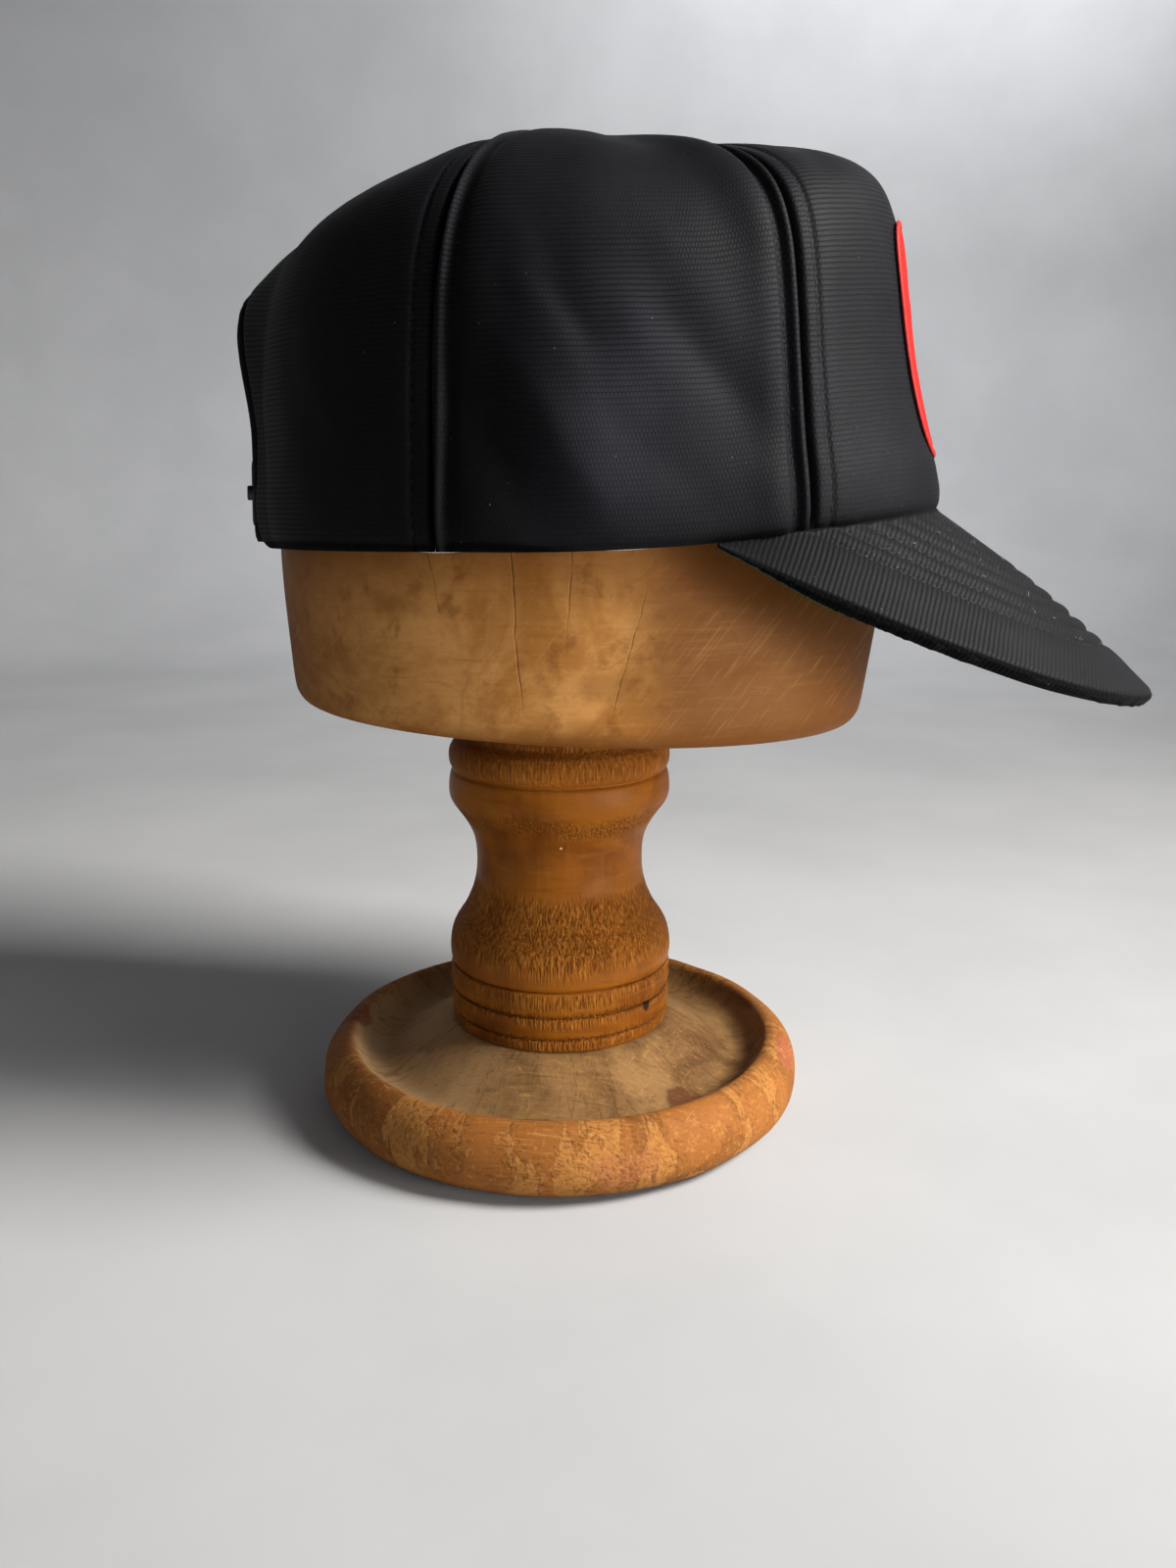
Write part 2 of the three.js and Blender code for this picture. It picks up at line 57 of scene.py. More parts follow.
def makeCamera():
    data = bpy.data.cameras.new("camera")
    data.lens = viewpoint["lens"]
    data.sensor_width = viewpoint["sensor"]
    data.clip_start = 0.01
    camera = bpy.data.objects.new("camera", data)
    camera.location = viewpoint["place"]
    camera.rotation_euler = (math.radians(90 - viewpoint["down"]), 0, math.radians(viewpoint["heading"] - 90))
    bpy.context.scene.collection.objects.link(camera)
    bpy.context.scene.camera = camera


# small helpers
def lerp(a, b, t):
    return a + (b - a) * t


def smooth(value, low, high):
    t = min(max((value - low) / (high - low), 0), 1)
    return t * t * (3 - 2 * t)


def bell(value, width, power=2):
    return math.exp(-abs(value / width) ** power)


def hermite(t, a, leave, b, reach):
    # from a to b, with the slopes it leaves and reaches them by
    return (a * (2 * t ** 3 - 3 * t ** 2 + 1) + leave * (t ** 3 - 2 * t ** 2 + t)
            + b * (3 * t ** 2 - 2 * t ** 3) + reach * (t ** 3 - t ** 2))


def steps(count, low=0.0, high=1.0):
    return [lerp(low, high, i / count) for i in range(count + 1)]


def edged(count, margin, fine):
    # shares from 0 to 1 with `fine` extra steps in a margin at both ends
    start = [margin * (i / fine) ** 1.3 for i in range(fine)]
    return start + steps(count, margin, 1 - margin) + [1 - t for t in reversed(start)]


def rolled(distance, reach, draw):
    # how far a rounded edge is drawn in at a distance from it
    if distance >= reach:
        return 0
    return draw * (1 - math.sqrt(max(1 - (1 - max(distance, 0) / reach) ** 2, 0)))


def mirrored(vector, mirror):
    return Vector((vector.x * mirror, vector.y, vector.z))


def table(names, *rows):
    # a dictionary for each row, under the names of the columns
    return [dict(zip(names.split(), row)) for row in rows]


# crown surface: the wall at eight angles round from the front, in degrees and millimetres
crownSections = table(
    "angle radius rim lean fall shoulder top",
    (0, 108, 192, 21, 3, 16, 7.5),
    (22, 105, 191, 19, 7, 14, 8),
    (46, 97, 187.5, 12, 11, 9.2, 5.5),
    (61, 91, 184.5, 8, 4, 6.6, 2.5),
    (84, 87, 182.5, 5, -2.5, 5.4, 2.3),
    (108, 87, 182, 4, -2, 5.2, 2.25),
    (145, 92.5, 181, 3, 3.5, 5, 2.1),
    (180, 95, 180, 4, 0, 4.8, 2.2),
)
crown = {
    "top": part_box("front_panel")[1].z / mm, "apexForward": 6, "apexHole": 2.4, "thickness": 3,
    "frontSeam": 46, "backSeam": 108, "seat": 0.3, "clothSeat": 0.6, "wallSteps": 160,
}
arch = {
    "halfWidth": 40, "rise": 0.42, "power": 2.4, "lipWidth": 10, "lipWidthHigh": 25, "lipPower": 1.6,
    "lipLow": 1.5, "lipHigh": 8.5, "bead": 1.35, "proud": 0.5, "inset": 1.5,
}
hollow = {"rise": 0.21, "halfAngle": 40, "halfHeight": 28, "depth": 2.4}

# slanting dents in the side panels, as the part has them, and then the finer creases and puffs of the
# loose cloth between them; a puff has a depth below nothing
folds = table(
    "angle rise length width slope depth",
    (63, 0.26, 30, 7, 52, 1.5),
    (82, 0.33, 22, 5, 55, 0.8),
    (90, 0.1, 34, 9, 62, 1.4),
    (62, 0.25, 20, 3.2, 50, 0.35),
    (86, 0.34, 14, 2.6, 50, 0.45),
    (83, 0.3, 26, 3.6, 66, 0.5),
    (73, 0.44, 22, 5, 60, 0.4),
    (70, 0.12, 16, 4, 40, 0.4),
    (57, 0.42, 18, 5, 70, 0.3),
    (92, 0.38, 30, 8, 76, -1.2),
    (87.5, 0.17, 30, 6, 58, -1.9),
    (96, 0.13, 30, 6.5, 58, 1.5),
    (77, 0.12, 20, 9, 58, -1.0),
    (66, 0.36, 24, 7, 55, -0.5),
    (134, 0.2, 26, 6, 60, 0.5),
    (122, 0.4, 22, 8, 110, 0.5),
)
# painted light and shade on the cloth: a spot whose worn is above nothing paints a highlight, and one below
# nothing paints shade
paintedLightSpots = table(
    "angle rise reach tall worn",
    (76, 0.17, 10, 0.22, 2.2),
    (86, 0.36, 6, 0.1, -0.3),
    (60, 0.3, 7, 0.17, 0.2),
    (96, 0.1, 8, 0.15, -0.6),
    (102, 0.5, 4.5, 0.6, -0.45),
    (132, 0.3, 30, 0.7, -0.7),
)


@lru_cache(None)
def section(angle):
    # the crown table at any angle, through a curve that is level at the front and at the back
    rows = crownSections
    k = max(i for i in range(len(rows) - 1) if rows[i]["angle"] <= angle)
    span = rows[k + 1]["angle"] - rows[k]["angle"]

    def slope(i, column):
        if i in (0, len(rows) - 1):
            return 0
        return (rows[i + 1][column] - rows[i - 1][column]) / (rows[i + 1]["angle"] - rows[i - 1]["angle"])

    return {
        column: hermite((angle - rows[k]["angle"]) / span, rows[k][column], span * slope(k, column),
                        rows[k + 1][column], span * slope(k + 1, column))
        for column in rows[0]
    }


@lru_cache(None)
def wall(quarter):
    # radii, heights and lengths so far up the wall, at a whole number of quarter degrees
    at = section(min(quarter / 4, 180))
    radii, heights, lengths = [], [], []
    for i in range(crown["wallSteps"] + 1):
        turn = (i / crown["wallSteps"]) ** 1.6 * math.pi / 2
        h = math.sin(turn) ** (2 / at["shoulder"])
        r = (at["radius"] - at["lean"] * h) * max(1 - h ** at["shoulder"], 0) ** (1 / at["top"])
        z = at["rim"] + (crown["top"] - at["fall"] * r / at["radius"] - at["rim"]) * h
        lengths.append(lengths[-1] + math.hypot(r - radii[-1], z - heights[-1]) if radii else 0)
        radii.append(max(r, crown["apexHole"]))
        heights.append(z)
    return radii, heights, lengths


@lru_cache(None)
def wallAt(quarter, rise):
    radii, heights, lengths = wall(quarter)
    goal = min(max(rise, 0), 1) * lengths[-1]
    k = min(max(bisect_left(lengths, goal), 1), len(lengths) - 1)
    t = (goal - lengths[k - 1]) / (lengths[k] - lengths[k - 1])
    return lerp(radii[k - 1], radii[k], t), lerp(heights[k - 1], heights[k], t), lengths[-1]


def wallPoint(angle, rise):
    # radius, height and whole length of the wall at a rise from 0 at the rim to 1 at the apex
    turned = abs(angle) if abs(angle) <= 180 else 360 - abs(angle)
    quarter = int(turned * 4)
    share = turned * 4 - quarter
    low = wallAt(quarter, rise)
    if share < 1e-6:
        return low
    return tuple(lerp(a, b, share) for a, b in zip(low, wallAt(quarter + 1, rise)))


def bareCrown(angle, rise):
    r, z, length = wallPoint(angle, rise)
    turn = math.radians(angle)
    below = min(rise, 0) * length      # a hem may hang a little below the rim
    return Vector((-r * math.sin(turn), -crown["apexForward"] - r * math.cos(turn), z + below))


@lru_cache(None)
def crownNormal(angle, rise):
    middle = min(max(rise, 0.005), 0.97)
    up = bareCrown(angle, middle + 0.005) - bareCrown(angle, middle - 0.005)
    across = bareCrown(angle + 0.5, middle) - bareCrown(angle - 0.5, middle)
    return up.cross(across).normalized()


def archHalfWidth(rise):
    if rise >= arch["rise"]:
        return 0
    return arch["halfWidth"] * (1 - (max(rise, 0) / arch["rise"]) ** arch["power"]) ** 0.5


@lru_cache(None)
def bend(angle, rise):
    # the lip round the opening at the back turns out, and the front is hollow
    r, _, length = wallPoint(angle, rise)
    x = r * math.radians(abs(180 - abs(angle)))
    y = rise * length
    top = arch["rise"] * length
    past = math.hypot(x / arch["halfWidth"], y / top) - 1
    away = past * lerp(arch["halfWidth"], top, smooth(y / top, 0, 1))
    high = smooth(rise / arch["rise"], 0.4, 1)
    wide = lerp(arch["lipWidth"], arch["lipWidthHigh"], high)
    most = lerp(arch["lipLow"], arch["lipHigh"], high)
    lip = most * min(max(1 - away / wide, 0), 1) ** lerp(1, arch["lipPower"], high)
    up = (rise - hollow["rise"]) * length / hollow["halfHeight"]
    return lip - hollow["depth"] * bell(angle, hollow["halfAngle"]) * math.exp(-up * up)


def crownPoint(angle, rise, depth):
    return bareCrown(angle, rise) + crownNormal(angle, rise) * (bend(angle, rise) - depth)


# shells and finishing
def clothShell(name, columns, rows, place, cut, paintedShading=None):
    # a closed sheet: place(u, v, inner) gives a point in millimetres, cut(u, v) its place on the
    # flat cloth in millimetres, kept as the UV map, and paintedShading(u, v) the shade painted into a fold or
    # an edge, which paints a highlight where it is below nothing
    bm = bmesh.new()
    cloth = bm.loops.layers.uv.new("cloth")
    uLayer = bm.verts.layers.float.new("u")
    vLayer = bm.verts.layers.float.new("v")
    paintedShadingLayer = bm.verts.layers.float.new("paintedShading")
    across, up = len(columns) - 1, len(rows) - 1
    bmesh.ops.create_grid(bm, x_segments=across, y_segments=up, size=0.5)
    for vert in bm.verts:
        vert[uLayer] = columns[round((vert.co.x + 0.5) * across)]
        vert[vLayer] = rows[round((vert.co.y + 0.5) * up)]
    grown = bmesh.ops.extrude_face_region(bm, geom=bm.faces[:], use_keep_orig=True)
    inner = {item for item in grown["geom"] if isinstance(item, bmesh.types.BMVert)}
    flat = {}
    for vert in bm.verts:
        u, v = vert[uLayer], vert[vLayer]
        vert.co = place(u, v, vert in inner) * mm
        flat[vert] = Vector(cut(u, v)) * mm
        if paintedShading:
            # the inner face is painted wholly in shade
            vert[paintedShadingLayer] = 1 if vert in inner else paintedShading(u, v)
    for face in bm.faces:
        for loop in face.loops:
            loop[cloth].uv = flat[loop.vert]
    bmesh.ops.recalc_face_normals(bm, faces=bm.faces[:])
    return settle(bm, name)


def sweptTube(name, path, sides, deep, wide, loop=False, ribbed=0.0, pitch=1.4):
    # an oval tube along (centre, out) pairs, with thread ribs across it
    bm = bmesh.new()
    cloth = bm.loops.layers.uv.new("cloth")
    count = len(path)
    spans = count if loop else count - 1
    rings, travelled = [], 0.0
    for k in range(spans + 1):
        centre, out = path[k % count]
        after = path[(k + 1) % count][0] if loop else path[min(k + 1, count - 1)][0]
        before = path[k - 1][0] if k or loop else centre
        if k:
            travelled += (centre - before).length
        tip = 1 if loop else math.sqrt(1 - (1 - min(min(k, count - 1 - k) / 2.5 + 0.25, 1)) ** 2)
        rings.append((centre, out, (after - before).cross(out).normalized(), travelled, tip))
    bmesh.ops.create_grid(bm, x_segments=sides, y_segments=spans, size=0.5)
    flat = {}
    for vert in bm.verts:
        i, k = round((vert.co.x + 0.5) * sides), round((vert.co.y + 0.5) * spans)
        centre, out, across, along, tip = rings[k]
        flat[vert] = (i / sides * 2 * wide * math.pi * mm, along * mm)
        turn = 2 * math.pi * (i % sides) / sides
        c, s = -math.sin(turn), math.cos(turn)
        rib = math.pi * (along if k < count else 0) / pitch + 1.2 * math.atan2(s, c)
        swell = tip + ribbed * abs(math.sin(rib))
        vert.co = (centre + out * (c * deep * swell) + across * (s * wide * swell)) * mm
    for face in bm.faces:
        for corner in face.loops:
            corner[cloth].uv = flat[corner.vert]
    bmesh.ops.remove_doubles(bm, verts=bm.verts[:], dist=1e-7)
    if not loop:
        bmesh.ops.holes_fill(bm, edges=bm.edges[:], sides=0)
    bmesh.ops.recalc_face_normals(bm, faces=bm.faces[:])
    return settle(bm, name)


def spunMesh(profile, segments):
    # (radius, height) pairs that start and end on the axis, turned round it
    bm = bmesh.new()
    verts = [bm.verts.new((r * mm, 0, z * mm)) for r, z in profile]
    edges = [bm.edges.new(pair) for pair in zip(verts, verts[1:])]
    bmesh.ops.spin(bm, geom=verts + edges, axis=(0, 0, 1), angle=2 * math.pi, steps=segments, use_merge=True)
    bmesh.ops.remove_doubles(bm, verts=bm.verts[:], dist=1e-6)
    bmesh.ops.recalc_face_normals(bm, faces=bm.faces[:])
    return bm


def spun(name, profile, segments, oval=(1, 1), worn=0.0, wornScale=0.02, turned=None):
    # a turned solid with a slightly worn face
    bm = spunMesh(profile, segments)
    bm.normal_update()
    for vert in bm.verts:
        shift = vert.normal * (worn * mm * noise.noise(vert.co / wornScale)) if worn else Vector()
        vert.co = vert.co + shift
        vert.co.x *= oval[0]
        vert.co.y *= oval[1]
        vert.co.z = max(vert.co.z, profile[0][1] * mm)
    if turned:
        bmesh.ops.transform(bm, matrix=turned, verts=bm.verts[:])
    return settle(bm, name)


def curved(points, per=5):
    # a smooth run through (radius, height) points
    line = []
    last = len(points) - 1
    for k in range(last):
        before, a = Vector(points[max(k - 1, 0)]), Vector(points[k])
        b, after = Vector(points[k + 1]), Vector(points[min(k + 2, last)])
        gap = max((b - a).length, 1e-6)
        leave, reach = (b - before).normalized() * gap, (after - a).normalized() * gap
        line += [hermite(i / per, a, leave, b, reach) for i in range(per)]
    return [(max(p.x, 0), p.y) for p in line] + [points[-1]]


def settle(bm, name, rides=True):
    # turns a bmesh into an object, which rides on the stand's body
    for face in bm.faces:
        face.smooth = True
    mesh = bpy.data.meshes.new(name)
    bm.to_mesh(mesh)
    bm.free()
    made = bpy.data.objects.new(name, mesh)
    bpy.context.scene.collection.objects.link(made)
    if rides:
        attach(made, "root")
    return made


def dress(piece, material, slot, *nodes):
    piece.data.materials.clear()
    piece.data.materials.append(material)
    if nodes:
        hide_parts(*nodes)
    return piece


# front patch: a plain squared oval of twill
patch = {
    "halfWidth": 24.5, "height": 60, "low": 16.5, "thickness": 0.8, "seat": 0.3, "edgeRadius": 1,
    "edgeDeep": 0.5, "squareness": 5, "threadPitch": 1.0, "threadSwell": 0.16, "edgeSteps": 330,
}

# cloth relief near the seams, in millimetres away from the seam line
seam = {
    "valleyAt": 4.9, "ridgeAt": 2.3, "ridgeWidth": 0.9, "ridgePaintedHighlight": 2.2, "stitchAt": 5.2, "fade": 22,
    "joinAt": 2.6, "joinDeep": 0.35, "joinWide": 0.9, "joinLow": 0.06, "joinHole": 4,
}
# the folds beside a seam: depth, distance from it, width and squareness. A deep side has a stitched
# valley, on a welt side a ridge stands proud, and a flat side is a strip with fine topstitching
seamSides = {
    "deep": [(2.1, 0, 1, 2), (2.1, seam["valleyAt"], 1.7, 4), (-0.9, 10, 5, 2)],
    "welt": [(2.1, 0, 1, 2), (-0.7, seam["ridgeAt"], seam["ridgeWidth"], 2),
             (0.84, seam["valleyAt"], 1.7, 2), (-0.45, 10, 5, 2)],
    "flat": [(2.1, 0, 1, 2), (0.35, 0, seam["stitchAt"], 2), (0.7, seam["stitchAt"], 0.65, 2),
             (-0.36, 10, 5, 2)],
}
hem = {
    "height": 7, "draw": 2.5, "puff": 0.6, "puffAt": 12, "puffWidth": 7,
    "innerHeight": 1.4, "innerDraw": 0.3,
}
panels = {
    "front_panel": {"from": -46, "to": 46, "left": "flat", "right": "flat", "columns": 54, "opening": False},
    "side_panel": {"from": 46, "to": 108, "left": "deep", "right": "welt", "columns": 44, "opening": False},
    "back_panel": {"from": 108, "to": 180, "left": "flat", "right": "flat", "columns": 40, "opening": True},
}
softness = {"folds": 0.75, "slack": 0.5, "slackScale": 0.028, "ripple": 0.12, "rippleScale": 0.009}


def besideSeam(side, away):
    return sum(depth * bell(away - at, width, power) for depth, at, width, power in seamSides[side])


def underPatch(angle, rise, r, length):
    # 1 where the patch lies, so the cloth is flat beneath it
    x = r * math.radians(abs(angle)) / (patch["halfWidth"] + 4)
    y = (rise * length - patch["low"] - patch["height"] / 2) / (patch["height"] / 2 + 4)
    return 1 - smooth(max(abs(x), abs(y)), 0.9, 1.05)


def panelRelief(panel, angle, rise, mirror):
    # how far the outer face stands off the plain wall
    r, _, length = wallPoint(angle, rise)
    fade = smooth(r, crown["apexHole"], seam["fade"])
    left = r * math.radians(angle - panel["from"])
    right = r * math.radians(panel["to"] - angle)
    sides = besideSeam(panel["left"], left), besideSeam(panel["right"], right)
    if panel["opening"]:
        out = -fade * (sides[0] + sides[1] * smooth(rise, arch["rise"], arch["rise"] + 0.06))
    else:
        out = -fade * max(sides, key=abs)
    for fold in folds:
        x = r * math.radians(abs(angle) - fold["angle"])
        y = (rise - fold["rise"]) * length
        turn = math.radians(fold["slope"])
        along = (x * math.cos(turn) + y * math.sin(turn)) / fold["length"]
        over = (y * math.cos(turn) - x * math.sin(turn)) / fold["width"]
        out -= softness["folds"] * fold["depth"] * math.exp(-along * along - over * over)
    spot = mirrored(bareCrown(angle, rise) * mm, mirror)
    low = rise * length
    out += hem["puff"] * bell(low - hem["puffAt"], hem["puffWidth"])
    free = smooth(min(left, right), 2, 16) * smooth(low, 2, 14) * (1 - underPatch(angle, rise, r, length))
    out += softness["slack"] * free * noise.noise(spot / softness["slackScale"])
    out += softness["ripple"] * noise.noise(spot / softness["rippleScale"])
    return out


def makePanel(node, kind, mirror):
    panel = panels[kind]
    middle = (panel["from"] + panel["to"]) / 2
    length = wallPoint(middle, 0)[2]
    columns = edged(panel["columns"], 14 / ((panel["to"] - panel["from"]) * 1.6), 22)
    first = (hem["height"] + 1) / length
    rows = [t * t * first for t in steps(12)][:-1]      # close together over the rolled hem
    if panel["opening"]:
        rows += [first + (arch["rise"] - first) * math.sin(t * math.pi / 2) for t in steps(46)]
        rows += steps(46, arch["rise"], 1)[1:]
    else:
        rows += steps(96, first, 1)

    def around(u, rise):
        # the angle at a share of the panel's width, and whether it ends at the opening there
        r = wallPoint(panel["to"], rise)[0]
        gap = math.degrees(math.asin(min(crown["seat"] / 2 / r, 0.5)))
        cut = math.degrees(math.asin(archHalfWidth(rise) / r)) if panel["opening"] else 0
        return lerp(panel["from"] + gap, panel["to"] - max(gap, cut), u), cut > gap

    def place(u, rise, inner):
        angle, opened = around(u, rise)
        r, _, tall = wallPoint(angle, rise)
        height = rise * tall
        sideways = r * math.radians(panel["to"] - angle) - archHalfWidth(rise) if opened else 99
        lifted = rise + rolled(sideways, 5, 3) / tall * (1 - min(rise / first, 1))
        if inner:
            depth = crown["thickness"] - rolled(height, hem["innerHeight"], hem["innerDraw"])
            depth -= rolled(sideways, 1.5, 0.8)
        else:
            depth = rolled(height, hem["height"], hem["draw"]) + rolled(sideways, 2.5, 0.9)
            depth -= panelRelief(panel, angle, rise, mirror)
            depth = min(depth, crown["thickness"] - 0.5)
        return mirrored(crownPoint(angle, lifted, depth), mirror)

    def cut(u, rise):
        return (around(u, rise)[0] - middle) * 1.55, rise * length

    # painted shading: shade painted into the seams and along the hem's lower edge, less the painted light and
    # shade of the spots and the welt
    def paintedShading(u, rise):
        angle = around(u, rise)[0]
        r, _, tall = wallPoint(angle, rise)
        left = (angle - panel["from"]) * math.radians(r)
        right = (panel["to"] - angle) * math.radians(r)
        worn = sum(
            spot["worn"] * bell(angle - spot["angle"], spot["reach"])
            * bell(rise - spot["rise"], spot["tall"])
            for spot in paintedLightSpots)
        if kind == "side_panel":      # a highlight is painted along the welt at the back seam
            worn += seam["ridgePaintedHighlight"] * bell(right - seam["ridgeAt"], seam["ridgeWidth"] * 0.8)
        return max(bell(min(left, right), 0.9), 1 - smooth(rise * tall, 0.6, 3), 0) - worn

    return clothShell(node, columns, rows, place, cut, paintedShading)


# threads: short stitches laid along a line of (point, outward direction) pairs, in millimetres
thread = {"length": 2.3, "pitch": 3.0, "radius": 0.21, "sink": 0.12}


def spaced(line, pitch):
    # evenly spaced places along a line: point, outward direction and way along
    found, travelled, due = [], 0.0, pitch / 2
    for (a, outA), (b, outB) in zip(line, line[1:]):
        gap = (b - a).length
        while gap > 0 and due <= travelled + gap:
            t = (due - travelled) / gap
            found.append((a.lerp(b, t), outA.lerp(outB, t).normalized(), (b - a).normalized()))
            due += pitch
        travelled += gap
    return found


def sewStitches(name, lines, material):
    whole = bmesh.new()
    rowMesh = bpy.data.meshes.new("row")
    sized = Matrix.Diagonal((thread["length"] / 2, thread["radius"], thread["radius"], 1))
    for line in lines:
        row = bmesh.new()      # a row at a time, which is quicker than one growing mesh
        for point, out, along in spaced(line, thread["pitch"]):
            side = out.cross(along).normalized()
            up = along.cross(side)
            turned = Matrix((along, side, up)).transposed().to_4x4()
            centre = Matrix.Translation((point + up * (thread["radius"] * 0.5 - thread["sink"])) * mm)
            placed = centre @ turned @ sized
            bmesh.ops.create_uvsphere(row, u_segments=6, v_segments=5, radius=mm, matrix=placed)
        row.to_mesh(rowMesh)
        whole.from_mesh(rowMesh)
        row.free()
    bpy.data.meshes.remove(rowMesh)
    return dress(settle(whole, name), material, "black_binding")


def seamLine(angle, away, side, mirror, low=0.02, high=0.93):
    # a row of topstitching `away` from a seam, on the outer face
    line = []
    for rise in steps(90, low, high):
        r = wallPoint(angle, rise)[0]
        if r < 14:
            break
        turned = angle + math.degrees(away / r)
        point = crownPoint(turned, rise, -panelRelief(panels[side], turned, rise, mirror))
        line.append((mirrored(point, mirror), mirrored(crownNormal(turned, rise), mirror)))
    return line


def seamJoin(angle, mirror):
    # the sewn join that closes the bottom of a seam, from near the rim to under the button
    return [
        (mirrored(crownPoint(angle, rise, seam["joinAt"]), mirror),
         mirrored(crownNormal(angle, rise), mirror))
        for rise in steps(130, arch["rise"] + 0.02 if angle == 180 else seam["joinLow"])
        if wallPoint(angle, rise)[0] > seam["joinHole"]
    ]


def makeCrown(knit, threadBlack):
    for node, kind, mirror in [
        ("front_panel", "front_panel", 1), ("side_panel_right", "side_panel", 1),
        ("side_panel_left", "side_panel", -1), ("back_panel_right", "back_panel", 1),
        ("back_panel_left", "back_panel", -1),
    ]:
        piece = dress(makePanel(node + "_cloth", kind, mirror), knit, "black_knit", node)
    lines = []
    for mirror in (1, -1):
        lines += [
            seamLine(crown["frontSeam"], seam["valleyAt"], "side_panel", mirror),
            seamLine(crown["frontSeam"], -seam["stitchAt"], "front_panel", mirror),
            seamLine(crown["backSeam"], seam["stitchAt"], "back_panel", mirror),
            seamLine(180, -seam["stitchAt"], "back_panel", mirror, arch["rise"] + 0.07),
        ]
    sewStitches("crown_topstitching", lines, threadBlack)
    for name, angle, mirror in [
        ("front_right", crown["frontSeam"], 1), ("front_left", crown["frontSeam"], -1),
        ("back_right", crown["backSeam"], 1), ("back_left", crown["backSeam"], -1), ("middle", 180, 1),
    ]:
        join = sweptTube("seam_join_" + name, seamJoin(angle, mirror), 8, seam["joinDeep"], seam["joinWide"])
        dress(join, threadBlack, "black_binding")
    print("crown panels, sewn joins and topstitching")


def makeArchBinding(binding):
    # a rolled edging just inside the opening at the back
    half = []
    for rise in [arch["rise"] * math.sin(t * math.pi / 2) for t in steps(70, 0.016, 1)]:
        r, _, length = wallPoint(180, rise)
        away = math.degrees(math.asin(max(archHalfWidth(rise) - arch["inset"], 0) / r))
        half.append((away, rise * (1 - arch["inset"] / (arch["rise"] * length))))
    whole = [(180 - away, rise) for away, rise in half]
    whole += [(180 + away, rise) for away, rise in reversed(half[:-1])]
    middle = crown["thickness"] / 2
    path = [(crownPoint(angle, rise, middle), crownNormal(angle, rise)) for angle, rise in whole]
    piece = sweptTube("arch_binding_cloth", path, 18, middle + arch["proud"], arch["bead"], ribbed=0.06)
    dress(piece, binding, "black_binding", "arch_binding")


# sweatband: an off-white band that lines the rim and shows as a sliver below it
band = {"height": 32, "thickness": 1.3, "below": -0.5, "wave": 1.5, "end": 143}


def makeSweatband(material):
    def place(u, v, inner):
        length = wallPoint(u, 0)[2]
        lift = band["wave"] * noise.noise(Vector((u * 0.06, 0, 4)))
        depth = crown["thickness"] + crown["clothSeat"] + (band["thickness"] if inner else 0)
        low = rolled(v * band["height"], 1.2, band["thickness"] * 0.42)
        point = crownPoint(u, v * band["height"] / length, depth + (-low if inner else low))
        point.z -= (band["below"] + lift) * (1 - min(v / 0.1, 1))
        return point

    columns = steps(190, -band["end"], band["end"])
    rows = [0, 0.006, 0.018, 0.04, 0.1] + steps(10, 0.1, 1)[1:]
    piece = clothShell("sweatband_cloth", columns, rows, place, lambda u, v: (u * 1.6, v * band["height"]))
    dress(piece, material, "off_white_band", "sweatband")
    print("sweatband")


# brim: a curved two-layer sheet with seven stitched rows, a quilted roll between them and a rolled edge
brim = {
    "halfAngle": 61, "tuck": 2.2, "halfWidth": 88, "centre": 50, "reach": 127, "cornerHeight": 184,
    "tipHeight": 139.5, "camber": 2.5, "upper": 2.5, "under": 1.3, "underReach": 0.972, "narrowing": 0.07,
    "dropPower": 1.3, "slope": 21, "rows": 7, "firstRow": 19.5, "rowPitch": 6.4, "rowDepth": 0.7,
    "rowWidth": 0.75, "quilt": 0.42, "edge": 2.4, "wrap": 0.5, "lap": 0.45,
}


def brimSurface(s, w):
    # over s = -1..1 from side to side and w = 0..1 from the crown to the edge
    angle = abs(s) * brim["halfAngle"]
    side = -1 if s > 0 else 1
    radius = section(angle)["radius"] - brim["tuck"]
    turn = math.radians(angle)
    inner = Vector((
        side * radius * math.sin(turn), -crown["apexForward"] - radius * math.cos(turn),
        section(angle)["rim"] - crown["clothSeat"] - 0.1,
    ))
    sweep = abs(s) * math.pi / 2
    drop = (1 - math.cos(sweep)) ** brim["dropPower"]
    outer = Vector((
        side * brim["halfWidth"] * (1 - brim["narrowing"] * s ** 6) * math.sin(sweep),
        -brim["centre"] - brim["reach"] * math.cos(sweep),
        lerp(brim["tipHeight"], brim["cornerHeight"], drop),
    ))
    point = inner.lerp(outer, w)
    point.z += brim["camber"] * math.sin(math.pi * w) * math.cos(sweep)
    return point


@lru_cache(None)
def brimNormal(s, w):
    across = brimSurface(s + 0.01, w) - brimSurface(s - 0.01, w)
    along = brimSurface(s, w + 0.01) - brimSurface(s, w - 0.01)
    straight = lerp(1, 0, smooth(w, 0, 0.15))
    return across.cross(along).normalized().lerp(Vector((0, 0, 1)), straight).normalized()


brimEdge = KDTree(401)
for index, s in enumerate(steps(400, -1, 1)):
    brimEdge.insert(brimSurface(s, 1), index)
brimEdge.balance()


def fromEdge(point):
    return brimEdge.find(point)[2]


def rowAt(number):
    # a stitched row's distance from the brim's edge
    return brim["firstRow"] + number * brim["rowPitch"]


def nearestRow(distance):
    nearest = round((distance - brim["firstRow"]) / brim["rowPitch"])
    return rowAt(min(max(nearest, 0), brim["rows"] - 1))


